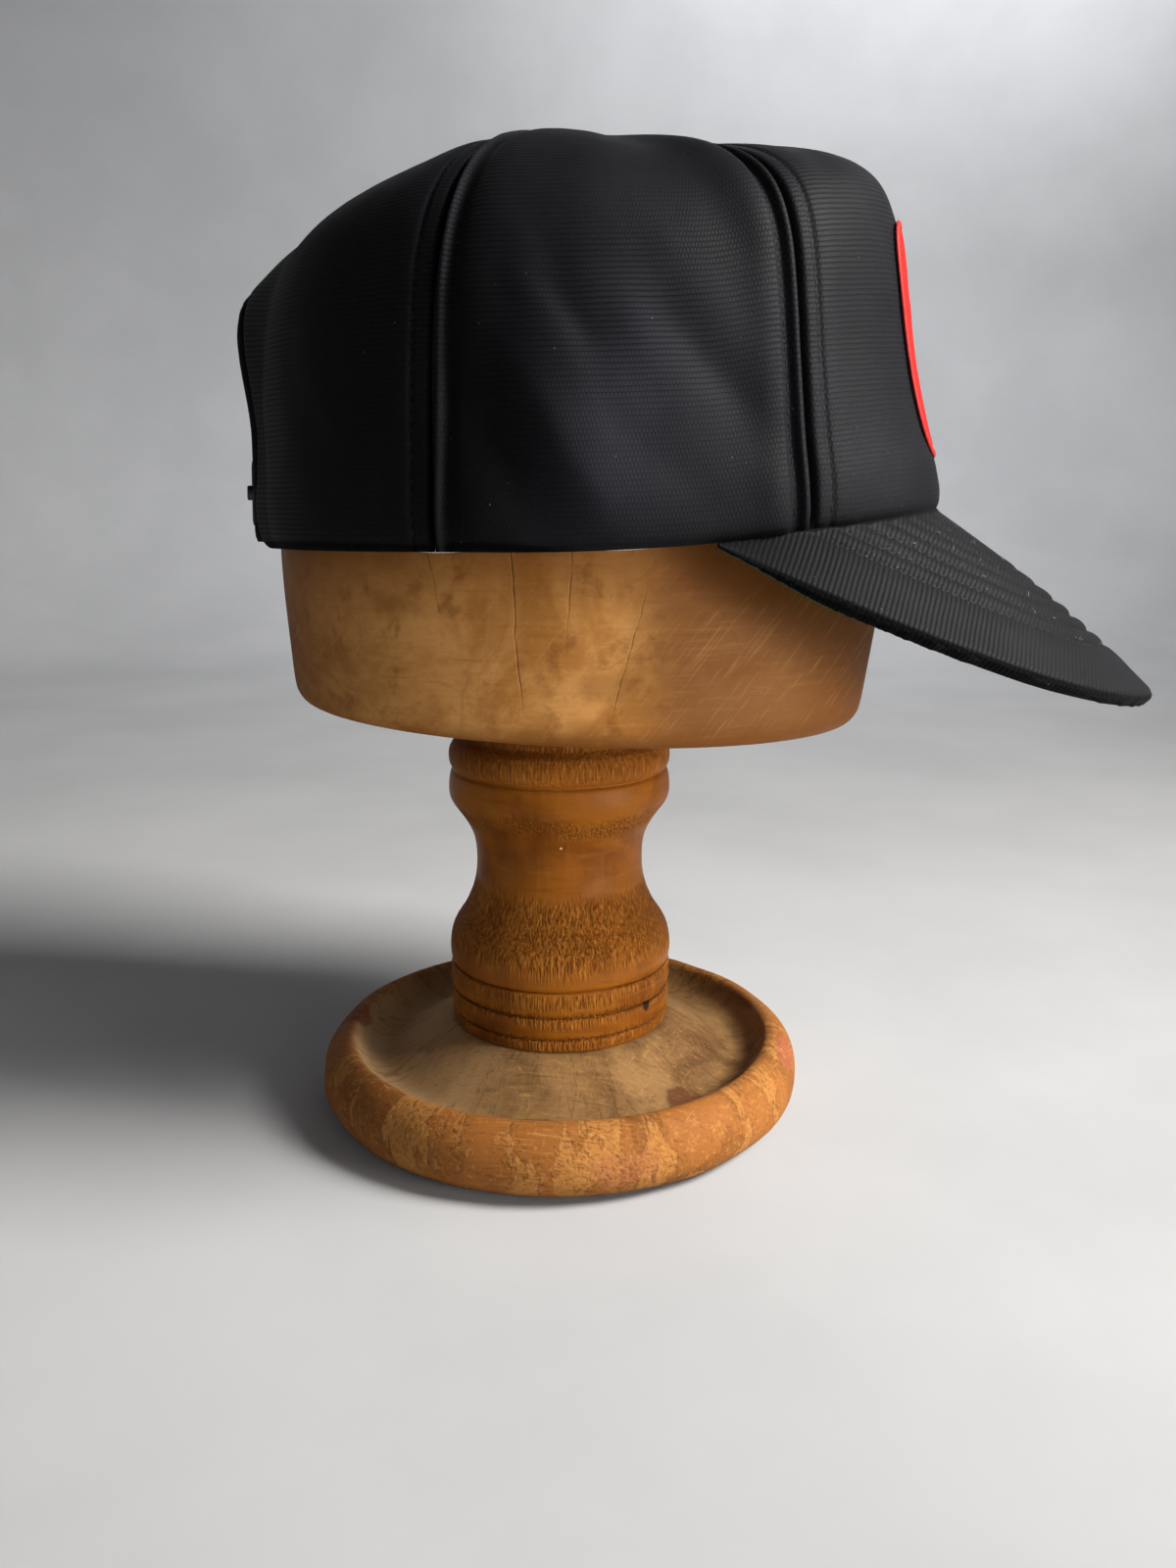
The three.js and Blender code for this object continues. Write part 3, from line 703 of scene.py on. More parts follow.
def quiltRelief(distance):
    # stitched rows that follow the brim's edge, with soft rolls between them
    first, last = rowAt(0), rowAt(brim["rows"] - 1)
    out = -brim["rowDepth"] * bell(distance - nearestRow(distance), brim["rowWidth"])
    inside = smooth(distance, first - 2, first + 1) * (1 - smooth(distance, last, last + 3))
    wave = math.sin(math.pi * (distance - first) / brim["rowPitch"]) ** 2
    return out + inside * brim["quilt"] * (wave - 0.5) + 0.25 * bell(distance - first + 5, 4)


def thinning(s):
    # the brim thins to its two corners
    return lerp(0.25, 1, smooth(1 - abs(s), 0, 0.16))


def brimRow(number, whole):
    # a row's stitches on the upper face, and those under the brim
    goal = rowAt(number)
    top = quiltRelief(goal)
    upper, lower = [], []
    for s in steps(240, -0.97, 0.97):
        near, far = 0.03, 1.0
        if fromEdge(brimSurface(s, near)) < goal:
            continue
        for _ in range(14):
            w = (near + far) / 2
            near, far = (w, far) if fromEdge(brimSurface(s, w)) > goal else (near, w)
        point, out = brimSurface(s, w), brimNormal(s, w)
        upper.append((point + out * top * thinning(s), out))
        lower.append((point + out * -(whole + 0.5 * top) * thinning(s), -out))
    return upper, lower


def makeBrim(upperKnit, underCloth, threadBlack):
    whole = brim["upper"] + crown["clothSeat"] + brim["under"]
    slope = math.radians(brim["slope"])

    def placeUpper(s, w, inner):
        point = brimSurface(s, w)
        distance = fromEdge(point)
        edge = rolled(distance, brim["edge"], brim["edge"] * 0.93)
        if inner:
            lip = smooth(w, brim["underReach"] + 0.004, brim["underReach"] + 0.012)
            depth = lerp(brim["upper"], whole + brim["wrap"], lip) - edge
        else:
            depth = edge - quiltRelief(distance) * smooth(w, 0, 0.02)
            depth -= 0.2 * noise.noise(point * 0.045) * smooth(distance, 2, 9)
            point.z += brim["lap"] * (1 - smooth(w, 0, 0.02))
        return point + brimNormal(s, w) * (-depth * thinning(s))

    def placeUnder(s, v, inner):
        w = v * brim["underReach"]
        point = brimSurface(s, w)
        depth = brim["upper"] + crown["clothSeat"] + (brim["under"] if inner else 0)
        if inner:
            depth += 0.5 * quiltRelief(fromEdge(point)) - rolled((1 - v) * 75, 0.9, 0.5)
        return point + brimNormal(s, w) * (-depth * thinning(s))

    def cut(s, w):
        # the ribs are square to the way down the brim's slope
        point = brimSurface(s, w)
        return point.x, -point.y * math.cos(slope) - point.z * math.sin(slope)

    # painted shade along the brim's rolled edge, in its stitched rows and at its root under the hem
    def paintedShading(s, w):
        distance = fromEdge(brimSurface(s, w))
        folded = 0.6 * bell(distance - nearestRow(distance), 0.5)
        return max(1 - smooth(distance, 0.5, 2.4), folded, 1 - smooth(w, 0, 0.03))

    columns = [math.sin(t * math.pi / 2) * 0.35 + t * 0.65 for t in steps(210, -1, 1)]
    rows = steps(118, 0, 0.955) + [lerp(0.955, 1, math.sin(t * math.pi / 2)) for t in steps(16)][1:]
    upper = clothShell("brim_upper_cloth", columns, rows, placeUpper, cut, paintedShading)
    dress(upper, upperKnit, "black_brim", "brim_upper")
    under = clothShell("brim_under_cloth", steps(150, -1, 1), steps(90), placeUnder, cut)
    dress(under, underCloth, "green_lining", "brim_under")
    upperRows, lowerRows = zip(*[brimRow(number, whole) for number in range(brim["rows"])])
    sewStitches("brim_stitching", upperRows, threadBlack)
    sewStitches("brim_stitching_under", lowerRows, threadBlack)
    print("brim, lining and stitched rows")


# loose fibres: pale lint caught in the brim's rows, and a dark fuzz along its edge
loose = {
    "seed": 7, "lint": 110, "lintLength": 1.3, "lintRadius": 0.06, "fuzz": 1100, "fuzzLength": 0.8,
    "fuzzRadius": 0.035,
}


def scatterFibres(name, places, length, radius, material, slot):
    # thin bent-over hairs at (point, direction) pairs
    chance = random.Random(loose["seed"])
    whole = bmesh.new()
    for point, along in places:
        long = length * chance.uniform(0.5, 1.4)
        turned = along.to_track_quat("Z", "Y").to_matrix().to_4x4()
        sized = Matrix.Diagonal((radius, radius, long / 2, 1))
        centre = Matrix.Translation((point + along * (long * 0.4)) * mm)
        bmesh.ops.create_icosphere(whole, subdivisions=1, radius=mm, matrix=centre @ turned @ sized)
    dress(settle(whole, name), material, slot)


def makeLoose(paleLint, darkLint):
    chance = random.Random(loose["seed"] + 1)

    def anyWay(out, lean):
        return (out * lean + Vector([chance.uniform(-1, 1) for _ in range(3)])).normalized()

    places = []
    longest = (brimSurface(0, 1) - brimSurface(0, 0)).length
    while len(places) < loose["lint"]:
        s, w = chance.uniform(-0.9, 0.9), chance.uniform(0.1, 0.86)
        row = rowAt(round(chance.uniform(0, brim["rows"] - 1)))
        local = (brimSurface(s, 1) - brimSurface(s, 0)).length  # the short sides of the brim catch less
        if abs(fromEdge(brimSurface(s, w)) - row) > 0.8 or chance.uniform(0.1, 1.2) > local / longest:
            continue
        out = brimNormal(s, w)
        places.append((brimSurface(s, w) + out * 0.1, anyWay(out, 0.5)))
    scatterFibres("brim_lint", places, loose["lintLength"], loose["lintRadius"], paleLint, "off_white_band")
    places = []
    for _ in range(loose["fuzz"]):
        s = chance.uniform(-1, 1)
        edge = brimSurface(s, 1)
        away = (edge - brimSurface(s, 0.98)).normalized()
        under = brimNormal(s, 1) * (-chance.uniform(0.6, 3.6))
        places.append((edge + under - away * 0.5, anyWay(away, 0.9)))
    scatterFibres("brim_edge_fuzz", places, loose["fuzzLength"], loose["fuzzRadius"], darkLint, "black_brim")
    print("loose fibres")


# front patch, with a merrowed edge
def patchPoint(a, b, lift, grow=0):
    power = patch["squareness"]
    most = max(abs(a), abs(b))
    squared = 1 if most == 0 else most / (abs(a) ** power + abs(b) ** power) ** (1 / power)
    length = wallPoint(0, 0)[2]
    rise = (patch["low"] + patch["height"] / 2 + b * squared * (patch["height"] / 2 + grow)) / length
    angle = math.degrees(a * squared * (patch["halfWidth"] + grow) / wallPoint(0, rise)[0])
    return crownPoint(angle, rise, -lift)


def makePatch(twill, merrow):
    def place(a, b, inner):
        lift = patch["seat"] + (0 if inner else patch["thickness"])
        if not inner:
            lift -= rolled((1 - max(abs(a), abs(b))) * patch["halfWidth"], 1.2, 0.35)
            lift += 0.12 * noise.noise(Vector((a * 3, b * 5, 1)))
        return patchPoint(a, b, lift)

    grid = [2 * t - 1 for t in edged(30, 0.06, 5)]
    wide, tall = patch["halfWidth"], patch["height"] / 2
    face = clothShell("patch_twill", grid, grid, place, lambda a, b: (a * wide, b * tall))
    dress(face, twill, "red_twill", "patch_face")
    path = []
    for turn in steps(patch["edgeSteps"], 0, 2 * math.pi)[:-1]:
        most = max(abs(math.cos(turn)), abs(math.sin(turn)))
        a, b = math.cos(turn) / most, math.sin(turn) / most
        centre = patchPoint(a, b, patch["seat"] + patch["edgeDeep"], patch["edgeRadius"] + crown["seat"])
        path.append((centre, (patchPoint(a, b, 3, 1) - patchPoint(a, b, 0, 1)).normalized()))
    edge = sweptTube("patch_merrowed_edge", path, 12, patch["edgeDeep"], patch["edgeRadius"], True,
                     patch["threadSwell"], patch["threadPitch"])
    dress(edge, merrow, "red_thread", "patch_border")
    print("patch")


# snap strap: two plastic halves, one with pegs and one with holes
strap = {
    "low": 6, "height": 19, "thickness": 1.2, "end": 53, "overlap": 25, "blend": 3, "bow": 0.6,
    "pegPitch": 9.5, "pegRadius": 2.1, "pegHeight": 2.7, "pegBevel": 0.5, "holeRadius": 2.6,
    "pegs": range(-3, 3), "holes": range(-2, 4),
}


def tucked(x):
    # 0 where the halves lap over each other, and 1 where a half lies inside its panel
    return smooth(abs(x), strap["overlap"] + strap["blend"], arch["halfWidth"])


def strapPoint(x, height, outward):
    r, _, length = wallPoint(180, 0)
    angle, rise = 180 + math.degrees(math.asin(x / r)), height / length
    depth = lerp(-strap["bow"], crown["thickness"] + crown["clothSeat"], tucked(x))
    return bareCrown(angle, rise) + crownNormal(angle, rise) * (outward - depth)


def strapShell(name, start, end, lift):
    half = strap["height"] / 2

    def place(x, v, inner):
        corner = min(abs(x - start), abs(x - end))
        pinch = rolled(min(corner, (1 - abs(v)) * half), 0.45, 0.45)
        outward = lift * (1 - tucked(x)) - (strap["thickness"] - pinch if inner else pinch)
        return strapPoint(x, strap["low"] + half + v * (half - rolled(corner, 4, 4)), outward)

    columns = [start + t * (end - start) for t in edged(60, 0.06, 10)]
    rows = [2 * t - 1 for t in edged(16, 0.05, 5)]
    return clothShell(name, columns, rows, place, lambda x, v: (x, v * half))


def pinsAt(numbers, radius, inward, outward, bevel=0.0):
    # round pins square to the strap on its middle line
    bm = bmesh.new()
    middle = strap["low"] + strap["height"] / 2
    for number in numbers:
        x = number * strap["pegPitch"]
        low, high = strapPoint(x, middle, inward), strapPoint(x, middle, outward)
        turned = (high - low).to_track_quat("Z", "Y").to_matrix().to_4x4()
        made = bmesh.ops.create_cone(
            bm, cap_ends=True, segments=28, radius1=radius * mm, radius2=radius * mm,
            depth=(high - low).length * mm, matrix=Matrix.Translation((low + high) / 2 * mm) @ turned,
        )
        if bevel:
            rim = {
                edge for vert in made["verts"] for edge in vert.link_edges
                if all((corner.co - high * mm).length < radius * 1.1 * mm for corner in edge.verts)
            }
            bmesh.ops.bevel(
                bm, geom=list(rim), offset=bevel * mm, affect="EDGES", segments=3, profile=0.5, material=-1,
            )
    return bm


def sharpen(piece, angle=40):
    # smooth shading with crisp corners
    bm = bmesh.new()
    bm.from_mesh(piece.data)
    for edge in bm.edges:
        edge.smooth = edge.is_manifold and edge.calc_face_angle(0) < math.radians(angle)
    bm.to_mesh(piece.data)
    bm.free()


def makeStrap(plastic):
    pegged = strapShell("strap_band_with_pegs", -strap["end"], strap["overlap"], 0)
    dress(pegged, plastic, "black_plastic", "strap_with_pegs")
    reach = (-strap["thickness"] / 2, strap["pegHeight"])
    pins = pinsAt(strap["pegs"], strap["pegRadius"], *reach, strap["pegBevel"])
    pegs = dress(settle(pins, "strap_pegs"), plastic, "black_plastic")
    lift = strap["thickness"] + crown["seat"]
    holed = strapShell("strap_band_with_holes", -strap["overlap"], strap["end"], lift)
    cutter = settle(pinsAt(strap["holes"], strap["holeRadius"], -4, 6), "cutter")
    punch = holed.modifiers.new("punch", "BOOLEAN")
    punch.operation = "DIFFERENCE"
    punch.solver = "EXACT"
    punch.object = cutter
    punched = bpy.data.meshes.new_from_object(holed.evaluated_get(bpy.context.evaluated_depsgraph_get()))
    holed.modifiers.clear()
    holed.data = punched
    bpy.data.objects.remove(cutter)
    dress(holed, plastic, "black_plastic", "strap_with_holes")
    for piece in (holed, pegs):
        sharpen(piece)
    print("snap strap")


# top button, covered in the same cloth
button = {
    "radius": 7, "height": 3.8, "rim": 1.1,
    "shank": [(0, -2.4), (2, -2.4), (2, 0.3), (6.2, 0.3), (6.8, 0.6)],
}


def makeButton(knit):
    radius, rim, rise = button["radius"], button["rim"], button["height"] - button["rim"]
    dome = [(radius * math.cos(t), rim + rise * math.sin(t)) for t in steps(10, 0, math.pi / 2)]
    profile = [(r, crown["top"] + z) for r, z in button["shank"] + dome[:-1] + [(0, button["height"])]]
    moved = Matrix.Translation((0, -crown["apexForward"] * mm, 0))
    piece = spun("top_button_cloth", profile, 40, turned=moved)
    dress(piece, knit, "black_knit", "top_button")


# wooden stand
block = {
    "halfLength": 91.5, "halfWidth": 76.5, "forward": 5.5, "underside": 131, "shoulder": 192, "tilt": 2,
    "domePower": 2.1, "clear": 0.5, "segments": 144,
    "sides": [(0.0, 0), (0.84, 0), (0.885, 0.12), (0.918, 0.9), (0.938, 2.4), (0.952, 5),
              (0.965, 14), (0.99, 38)],
}
stem = {
    "segments": 120, "worn": 0.25,
    "profile": [
        (35.0, 28.3), (35.2, 29.2), (35.3, 31.2), (34.9, 31.8), (34.3, 32), (34.9, 32.4), (35.4, 33.1),
        (35.6, 36), (35.5, 38.4), (35.1, 39), (34.2, 39.2), (34.9, 39.7), (35.5, 40.4), (35.8, 43.2),
        (35.6, 46.6), (35.2, 47.3), (34.3, 47.5), (34.9, 48), (35.5, 48.8), (35.8, 53), (34.6, 59),
        (30.4, 66), (27.6, 73.5), (26.7, 81), (27.4, 89), (30, 95), (33.8, 100.5), (34.8, 102.6),
        (35.1, 105), (34.9, 108), (34.4, 110.3), (33.5, 111.2), (34.3, 112.2), (34.9, 113.8),
        (34.9, 117), (33.6, 119.6),
        (31.8, 120.8), (30.6, 122), (30.5, 129.8),
    ],
}
foot = {
    "segments": 180, "worn": 0.45, "wornScale": 0.016,
    "profile": [
        (65, 0), (70.5, 0.8), (75.2, 3.6), (77.6, 7.6), (78, 11.5), (77, 16.5), (74.2, 20.8), (71.2, 22.9),
        (69.2, 23.3), (67.6, 22.6), (65.6, 19.8), (62.6, 17), (57.5, 16), (51, 19), (44, 23.4), (38, 27),
        (35.8, 28),
    ],
}


def capped(profile):
    # closes a profile on the axis at both ends
    return [(0, profile[0][1])] + curved(profile, 4) + [(0, profile[-1][1])]


def makeStand(blockWood, stemWood, footWood):
    top = crown["top"] - crown["thickness"] - block["clear"] - block["underside"]
    shoulder = block["shoulder"] - block["underside"]
    heights = [math.sin(t) for t in steps(26, 0, math.pi / 2)]
    dome = [(max(1 - h ** block["domePower"], 0) ** 0.5, lerp(shoulder, top, h)) for h in heights]
    sides = block["sides"][:1] + curved(block["sides"][1:] + [(1, shoulder)])[:-1]
    lean = Matrix.Rotation(math.radians(block["tilt"]), 4, "X")
    lean = Matrix.Translation((0, -block["forward"] * mm, block["underside"] * mm)) @ lean
    size = (block["halfWidth"], block["halfLength"])
    piece = spun("hat_block_wood", sides + dome, block["segments"], size, turned=lean)
    dress(piece, blockWood, "pale_wood", "hat_block")
    piece = spun("stem_wood", capped(stem["profile"]), stem["segments"], worn=stem["worn"])
    dress(piece, stemWood, "turned_wood", "stem")
    wear = {"worn": foot["worn"], "wornScale": foot["wornScale"]}
    piece = spun("foot_wood", capped(foot["profile"]), foot["segments"], **wear)
    dress(piece, footWood, "worn_wood", "foot")
    print("hat block, stem and foot")


# nodes: a Value wraps a socket, so that a mask is written as the sum it is
class Value:
    def __init__(self, nodes, socket):
        self.nodes = nodes
        self.socket = socket

    def math(self, operation, *others):
        return self.nodes.put("Math", dict(enumerate((self, *others))), operation=operation)

    def __add__(self, other):
        return self.math("ADD", other)

    def __sub__(self, other):
        return self.math("SUBTRACT", other)

    def __rsub__(self, other):
        return self.nodes.put("Math", {0: other, 1: self}, operation="SUBTRACT")

    def __mul__(self, other):
        return self.math("MULTIPLY", other)

    def __abs__(self):
        return self.math("ABSOLUTE")

    def most(self, other):
        return self.math("MAXIMUM", other)

    def ramp(self, low, high, start=0.0, end=1.0):
        inputs = {"Value": self, "From Min": low, "From Max": high, "To Min": start, "To Max": end}
        return self.nodes.put("MapRange", inputs, interpolation_type="SMOOTHSTEP")


class Nodes:
    # writes the nodes of one shared effect or one finish
    def __init__(self, tree):
        self.tree = tree

    def make(self, kind, inputs, **settings):
        made = self.tree.nodes.new("ShaderNode" + kind)
        for key, value in settings.items():
            setattr(made, key, value)
        for key, value in inputs.items():
            if isinstance(value, Value):
                self.tree.links.new(value.socket, made.inputs[key])
            else:
                made.inputs[key].default_value = value
        return made

    def put(self, kind, inputs, output=0, **settings):
        return Value(self, self.make(kind, inputs, **settings).outputs[output])

    def vector(self, operation, *parts, output=0):
        return self.put("VectorMath", dict(enumerate(parts)), output, operation=operation)

    def axes(self, vector):
        return [Value(self, axis) for axis in self.make("SeparateXYZ", {0: vector}).outputs]

    def noise(self, vector, scale, detail=2.0, roughness=0.5, distortion=0.0):
        inputs = {"Scale": scale, "Detail": detail, "Roughness": roughness, "Distortion": distortion}
        return self.put("TexNoise", {"Vector": vector, **inputs})

    def use(self, effect, **inputs):
        made = self.make("Group", inputs, node_tree=effect)
        return {socket.name: Value(self, socket) for socket in made.outputs}


class Effect(Nodes):
    # a node group: a number or a vector for each named input, where Vector and Cloth are coordinates
    def __init__(self, name, outputs, **inputs):
        super().__init__(bpy.data.node_groups.new(name, "ShaderNodeTree"))
        for label, usual in inputs.items():
            kind = "NodeSocketFloat" if isinstance(usual, float) else "NodeSocketVector"
            made = self.tree.interface.new_socket(label, in_out="INPUT", socket_type=kind)
            if usual:
                made.default_value = usual
        for label in outputs:
            self.tree.interface.new_socket(label, in_out="OUTPUT", socket_type="NodeSocketFloat")
        given = self.tree.nodes.new("NodeGroupInput").outputs
        self.given = {label: Value(self, given[label]) for label in inputs}

    def give(self, **results):
        last = self.tree.nodes.new("NodeGroupOutput")
        for label, value in results.items():
            self.tree.links.new(value.socket, last.inputs[label])
        return self.tree


class Finish(Nodes):
    # a material whose colour is laid on coat by coat, in the piece's own tones
    def __init__(self, name, tones=None, **shader):
        self.made = bpy.data.materials.new(name)
        self.made.use_nodes = True
        super().__init__(self.made.node_tree)
        self.tree.nodes.clear()
        self.tones = tones or {}
        names = {"specular": "Specular IOR Level", "roughness": "Roughness", "sheen": "Sheen Weight",
                 "sheenRoughness": "Sheen Roughness", "sheenTint": "Sheen Tint"}
        self.shader = self.make("BsdfPrincipled", {names[key]: value for key, value in shader.items()})
        self.place = self.put("TexCoord", {}, "Object")
        self.colour = None

    def mapped(self, scale=(1, 1, 1), turn=(0, 0, 0), vector=None, kind="POINT"):
        turns = [math.radians(angle) for angle in turn]
        inputs = {"Vector": vector or self.place, "Rotation": turns, "Scale": scale}
        return self.put("Mapping", inputs, vector_type=kind)

    def mix(self, mask, below, above, kind="MIX"):
        return self.put("Mix", {0: mask, 6: below, 7: above}, 2, data_type="RGBA", blend_type=kind)

    def tone(self, name):
        return (*self.tones.get(name, name), 1)

    def base(self, mask, below, above):
        self.colour = self.mix(mask, self.tone(below), self.tone(above))

    def coat(self, mask, tone):
        self.colour = self.mix(mask, self.colour, self.tone(tone))

    def coats(self, *rows):
        # each coat: what it follows, where it starts and is whole, its strength and its tone
        for value, low, high, strength, tone in rows:
            self.coat(value.ramp(low, high, 0.0, strength), tone)

    def finish(self, relief=None, depth=0.0, roughness=None):
        # the relief's depth is in millimetres
        normal = relief and self.put("Bump", {"Height": relief, "Distance": depth * mm, "Strength": 1.0})
        for key, value in {"Base Color": self.colour, "Roughness": roughness, "Normal": normal}.items():
            if value:
                self.tree.links.new(value.socket, self.shader.inputs[key])
        self.make("OutputMaterial", {"Surface": Value(self, self.shader.outputs[0])})
        return self.made


# cloth effects, shared
@lru_cache(None)
def ribKnit():
    # rounded ribs across the cloth map, with loops along each; pitch, loops and wobble in millimetres
    nodes = Effect("rib knit", ["Height", "Rib", "Loop"], Cloth=None, Pitch=1.35, Loops=0.95, Wobble=0.12)
    given = nodes.given
    along, across, _ = nodes.axes(given["Cloth"])
    sway = nodes.noise(given["Cloth"], 90.0) - 0.5
    ribs = (across * 1000.0).math("DIVIDE", given["Pitch"]) + sway * (given["Wobble"] * 4.0)
    rib = abs((ribs * math.pi).math("SINE")).math("POWER", 0.7)
    loops = (along * 1000.0).math("DIVIDE", given["Loops"]) + ribs.math("FLOOR") * 0.5
    loop = abs((loops * math.pi).math("SINE"))
    return nodes.give(Height=rib * (loop * 0.22 + 0.78), Rib=rib, Loop=loop)


@lru_cache(None)
def flecksAndClouds():
    # sparse pale specks of lint or dust, and a soft cloudiness
    nodes = Effect("flecks and clouds", ["Fleck", "Cloud"], Vector=None, Size=900.0, Amount=0.5, Clouds=25.0)
    given = nodes.given
    spots = nodes.make("TexVoronoi", {"Vector": given["Vector"], "Scale": given["Size"]}).outputs
    near = Value(nodes, spots["Distance"]).ramp(0.14, 0.05)
    chance = nodes.put("TexWhiteNoise", {"Vector": Value(nodes, spots["Position"])}, "Value")
    kept = chance.math("LESS_THAN", given["Amount"] * 0.02)
    return nodes.give(Fleck=near * kept, Cloud=nodes.noise(given["Vector"], given["Clouds"], 4.0, 0.6))


def makeKnit(name, dark, light, pitch=1.35, depth=0.12, lint=0.5, calm=(0, 0.01)):
    knit = Finish(name, specular=0.09, sheen=0.015, sheenRoughness=0.4, sheenTint=(0.72, 0.76, 0.85, 1))
    cloth = knit.put("UVMap", {}, uv_map="cloth")
    paintedShading = knit.put("Attribute", {}, "Fac", attribute_name="paintedShading")
    rib = knit.use(ribKnit(), Cloth=cloth, Pitch=pitch)
    fleck = knit.use(flecksAndClouds(), Vector=knit.place, Amount=lint)
    # the ribs stand out in some places, most of all above the calm heights, and loops show between them
    plain = knit.noise(knit.place, 18.0, 3.0, 0.6).ramp(0.35, 0.65, 0.45, 1.1)
    plain *= knit.axes(knit.place)[2].ramp(*calm, 0.3, 1.0)
    looped = (rib["Loop"] - 0.6) * (1.0 - plain)
    knit.base((rib["Rib"] - 0.7) * plain + 0.7 + looped * 0.3, dark, light)
    # painted shading: the cloth is darker where the mesh paints shade into seams, folds and edges, and
    # lighter where it paints a highlight
    shade = fleck["Cloud"].ramp(0.3, 0.75, 0.75, 1.2) * (paintedShading * -0.85 + 1.0)
    grey = knit.put("CombineColor", {0: shade, 1: shade, 2: shade})
    knit.colour = knit.mix(1.0, knit.colour, grey, "MULTIPLY")
    knit.coat(fleck["Fleck"], (0.22, 0.215, 0.2))
    fuzz = knit.noise(knit.place, 2600.0, 3.0, 0.7)
    relief = fuzz * 0.4 + rib["Height"] * plain + looped * 0.35
    return knit.finish(relief, depth, rib["Rib"].ramp(0.0, 1.0, 0.74, 0.58).most(paintedShading))


def makeTwill(name, colour, shade, pitch=0.9):
    # diagonal twill on the cloth map
    twill = Finish(name, roughness=0.75, sheen=0.03, sheenRoughness=0.4, specular=0.12)
    cloth = twill.put("UVMap", {}, uv_map="cloth")
    along, across, _ = twill.axes(twill.mapped(turn=(0, 0, 38), vector=cloth))
    wale = (across * (2000 * math.pi / pitch)).math("SINE")
    yarn = (along * (2000 * math.pi / (pitch * 0.7))).math("SINE")
    height = yarn * 0.15 + (wale * 0.35 + 0.5)
    fleck = twill.use(flecksAndClouds(), Vector=twill.place, Amount=0.2, Clouds=60.0)
    twill.base(height.ramp(0.1, 0.9), shade, colour)
    twill.coats((fleck["Cloud"], 0.4, 0.9, 0.35, shade))
    return twill.finish(height, 0.18)


def makeThread(name, colour, shade):
    spun = Finish(name, roughness=0.55, sheen=0.06, specular=0.2)
    strands = spun.noise(spun.place, 3200.0, 2.0, 0.6)
    spun.base(strands.ramp(0.35, 0.65), shade, colour)
    return spun.finish(strands, 0.08)


def makePlastic():
    plastic = Finish("moulded black plastic", specular=0.5)
    grain = plastic.noise(plastic.place, 1800.0, 3.0, 0.6)
    scuff = plastic.noise(plastic.mapped((1, 1, 9)), 70.0, 5.0, 0.7)
    plastic.base(scuff.ramp(0.55, 0.8, 0.0, 0.5), (0.012, 0.012, 0.014), (0.045, 0.045, 0.048))
    return plastic.finish(grain, 0.04, scuff.ramp(0.3, 0.8, 0.28, 0.55))


# wood effects, shared
@lru_cache(None)
def woodFibre():
    # fine streaks along one direction, given by stretching the coordinates, and broad blotches
    nodes = Effect("wood fibre", ["Fibre", "Blotch"], Vector=None, Stretch=(1, 1, 0.05), Scale=400.0,
                   Blotches=30.0)
    given = nodes.given
    pulled = nodes.vector("MULTIPLY", given["Vector"], given["Stretch"])
    return nodes.give(Fibre=nodes.noise(pulled, given["Scale"], 5.0, 0.65, 0.3),
                      Blotch=nodes.noise(given["Vector"], given["Blotches"], 5.0, 0.6, 0.6))


@lru_cache(None)
def tornGrain():
    # short torn flecks in the grain, as a dull tool leaves them
    nodes = Effect("torn grain", ["Pit", "Lift"], Vector=None, Stretch=(1, 1, 0.13), Scale=1400.0)
    pulled = nodes.vector("MULTIPLY", nodes.given["Vector"], nodes.given["Stretch"])
    torn = nodes.noise(pulled, nodes.given["Scale"], 2.0, 0.55, 0.15)
    return nodes.give(Pit=torn.ramp(0.5, 0.33), Lift=torn.ramp(0.52, 0.66))


@lru_cache(None)
def raggedStain():
    # one ragged stain round a place, with its half size, both in metres
    usual = {"Place": (0, 0, 0), "Size": (0.01, 0.01, 0.01), "Ragged": 0.9, "Edge": 0.25}
    nodes = Effect("stain", ["Stain"], Vector=None, **usual)
    given = nodes.given
    away = nodes.vector("SUBTRACT", given["Vector"], given["Place"])
    away = nodes.vector("LENGTH", nodes.vector("DIVIDE", away, given["Size"]), output="Value")
    away = (nodes.noise(given["Vector"], 130.0, 4.0, 0.6) - 0.5) * given["Ragged"] + away
    return nodes.give(Stain=away.ramp(1.0, 1.0 - given["Edge"]))


@lru_cache(None)
def fineCrack():
    # one fine dark line up the wood: it passes through Start at the height 0 and leans by Lean
    usual = {"Start": 0.0, "Lean": 0.0, "Low": 0.13, "High": 0.19, "Width": 0.35}
    nodes = Effect("fine crack", ["Crack"], Vector=None, **usual)
    given = nodes.given
    _, y, z = nodes.axes(given["Vector"])
    sway = nodes.noise(given["Vector"], 45.0, 5.0, 0.7) - 0.5
    near = abs(y - (sway * 0.0035 + (z * given["Lean"] + given["Start"]))).ramp(given["Width"] * mm, 0.0)
    low = z.ramp(given["Low"], given["Low"] + 0.012)
    high = z.ramp(given["High"], given["High"] - 0.012)
    broken = nodes.noise(given["Vector"], 160.0).ramp(0.35, 0.55, 0.25, 1.0)
    return nodes.give(Crack=near * (low * high) * broken)


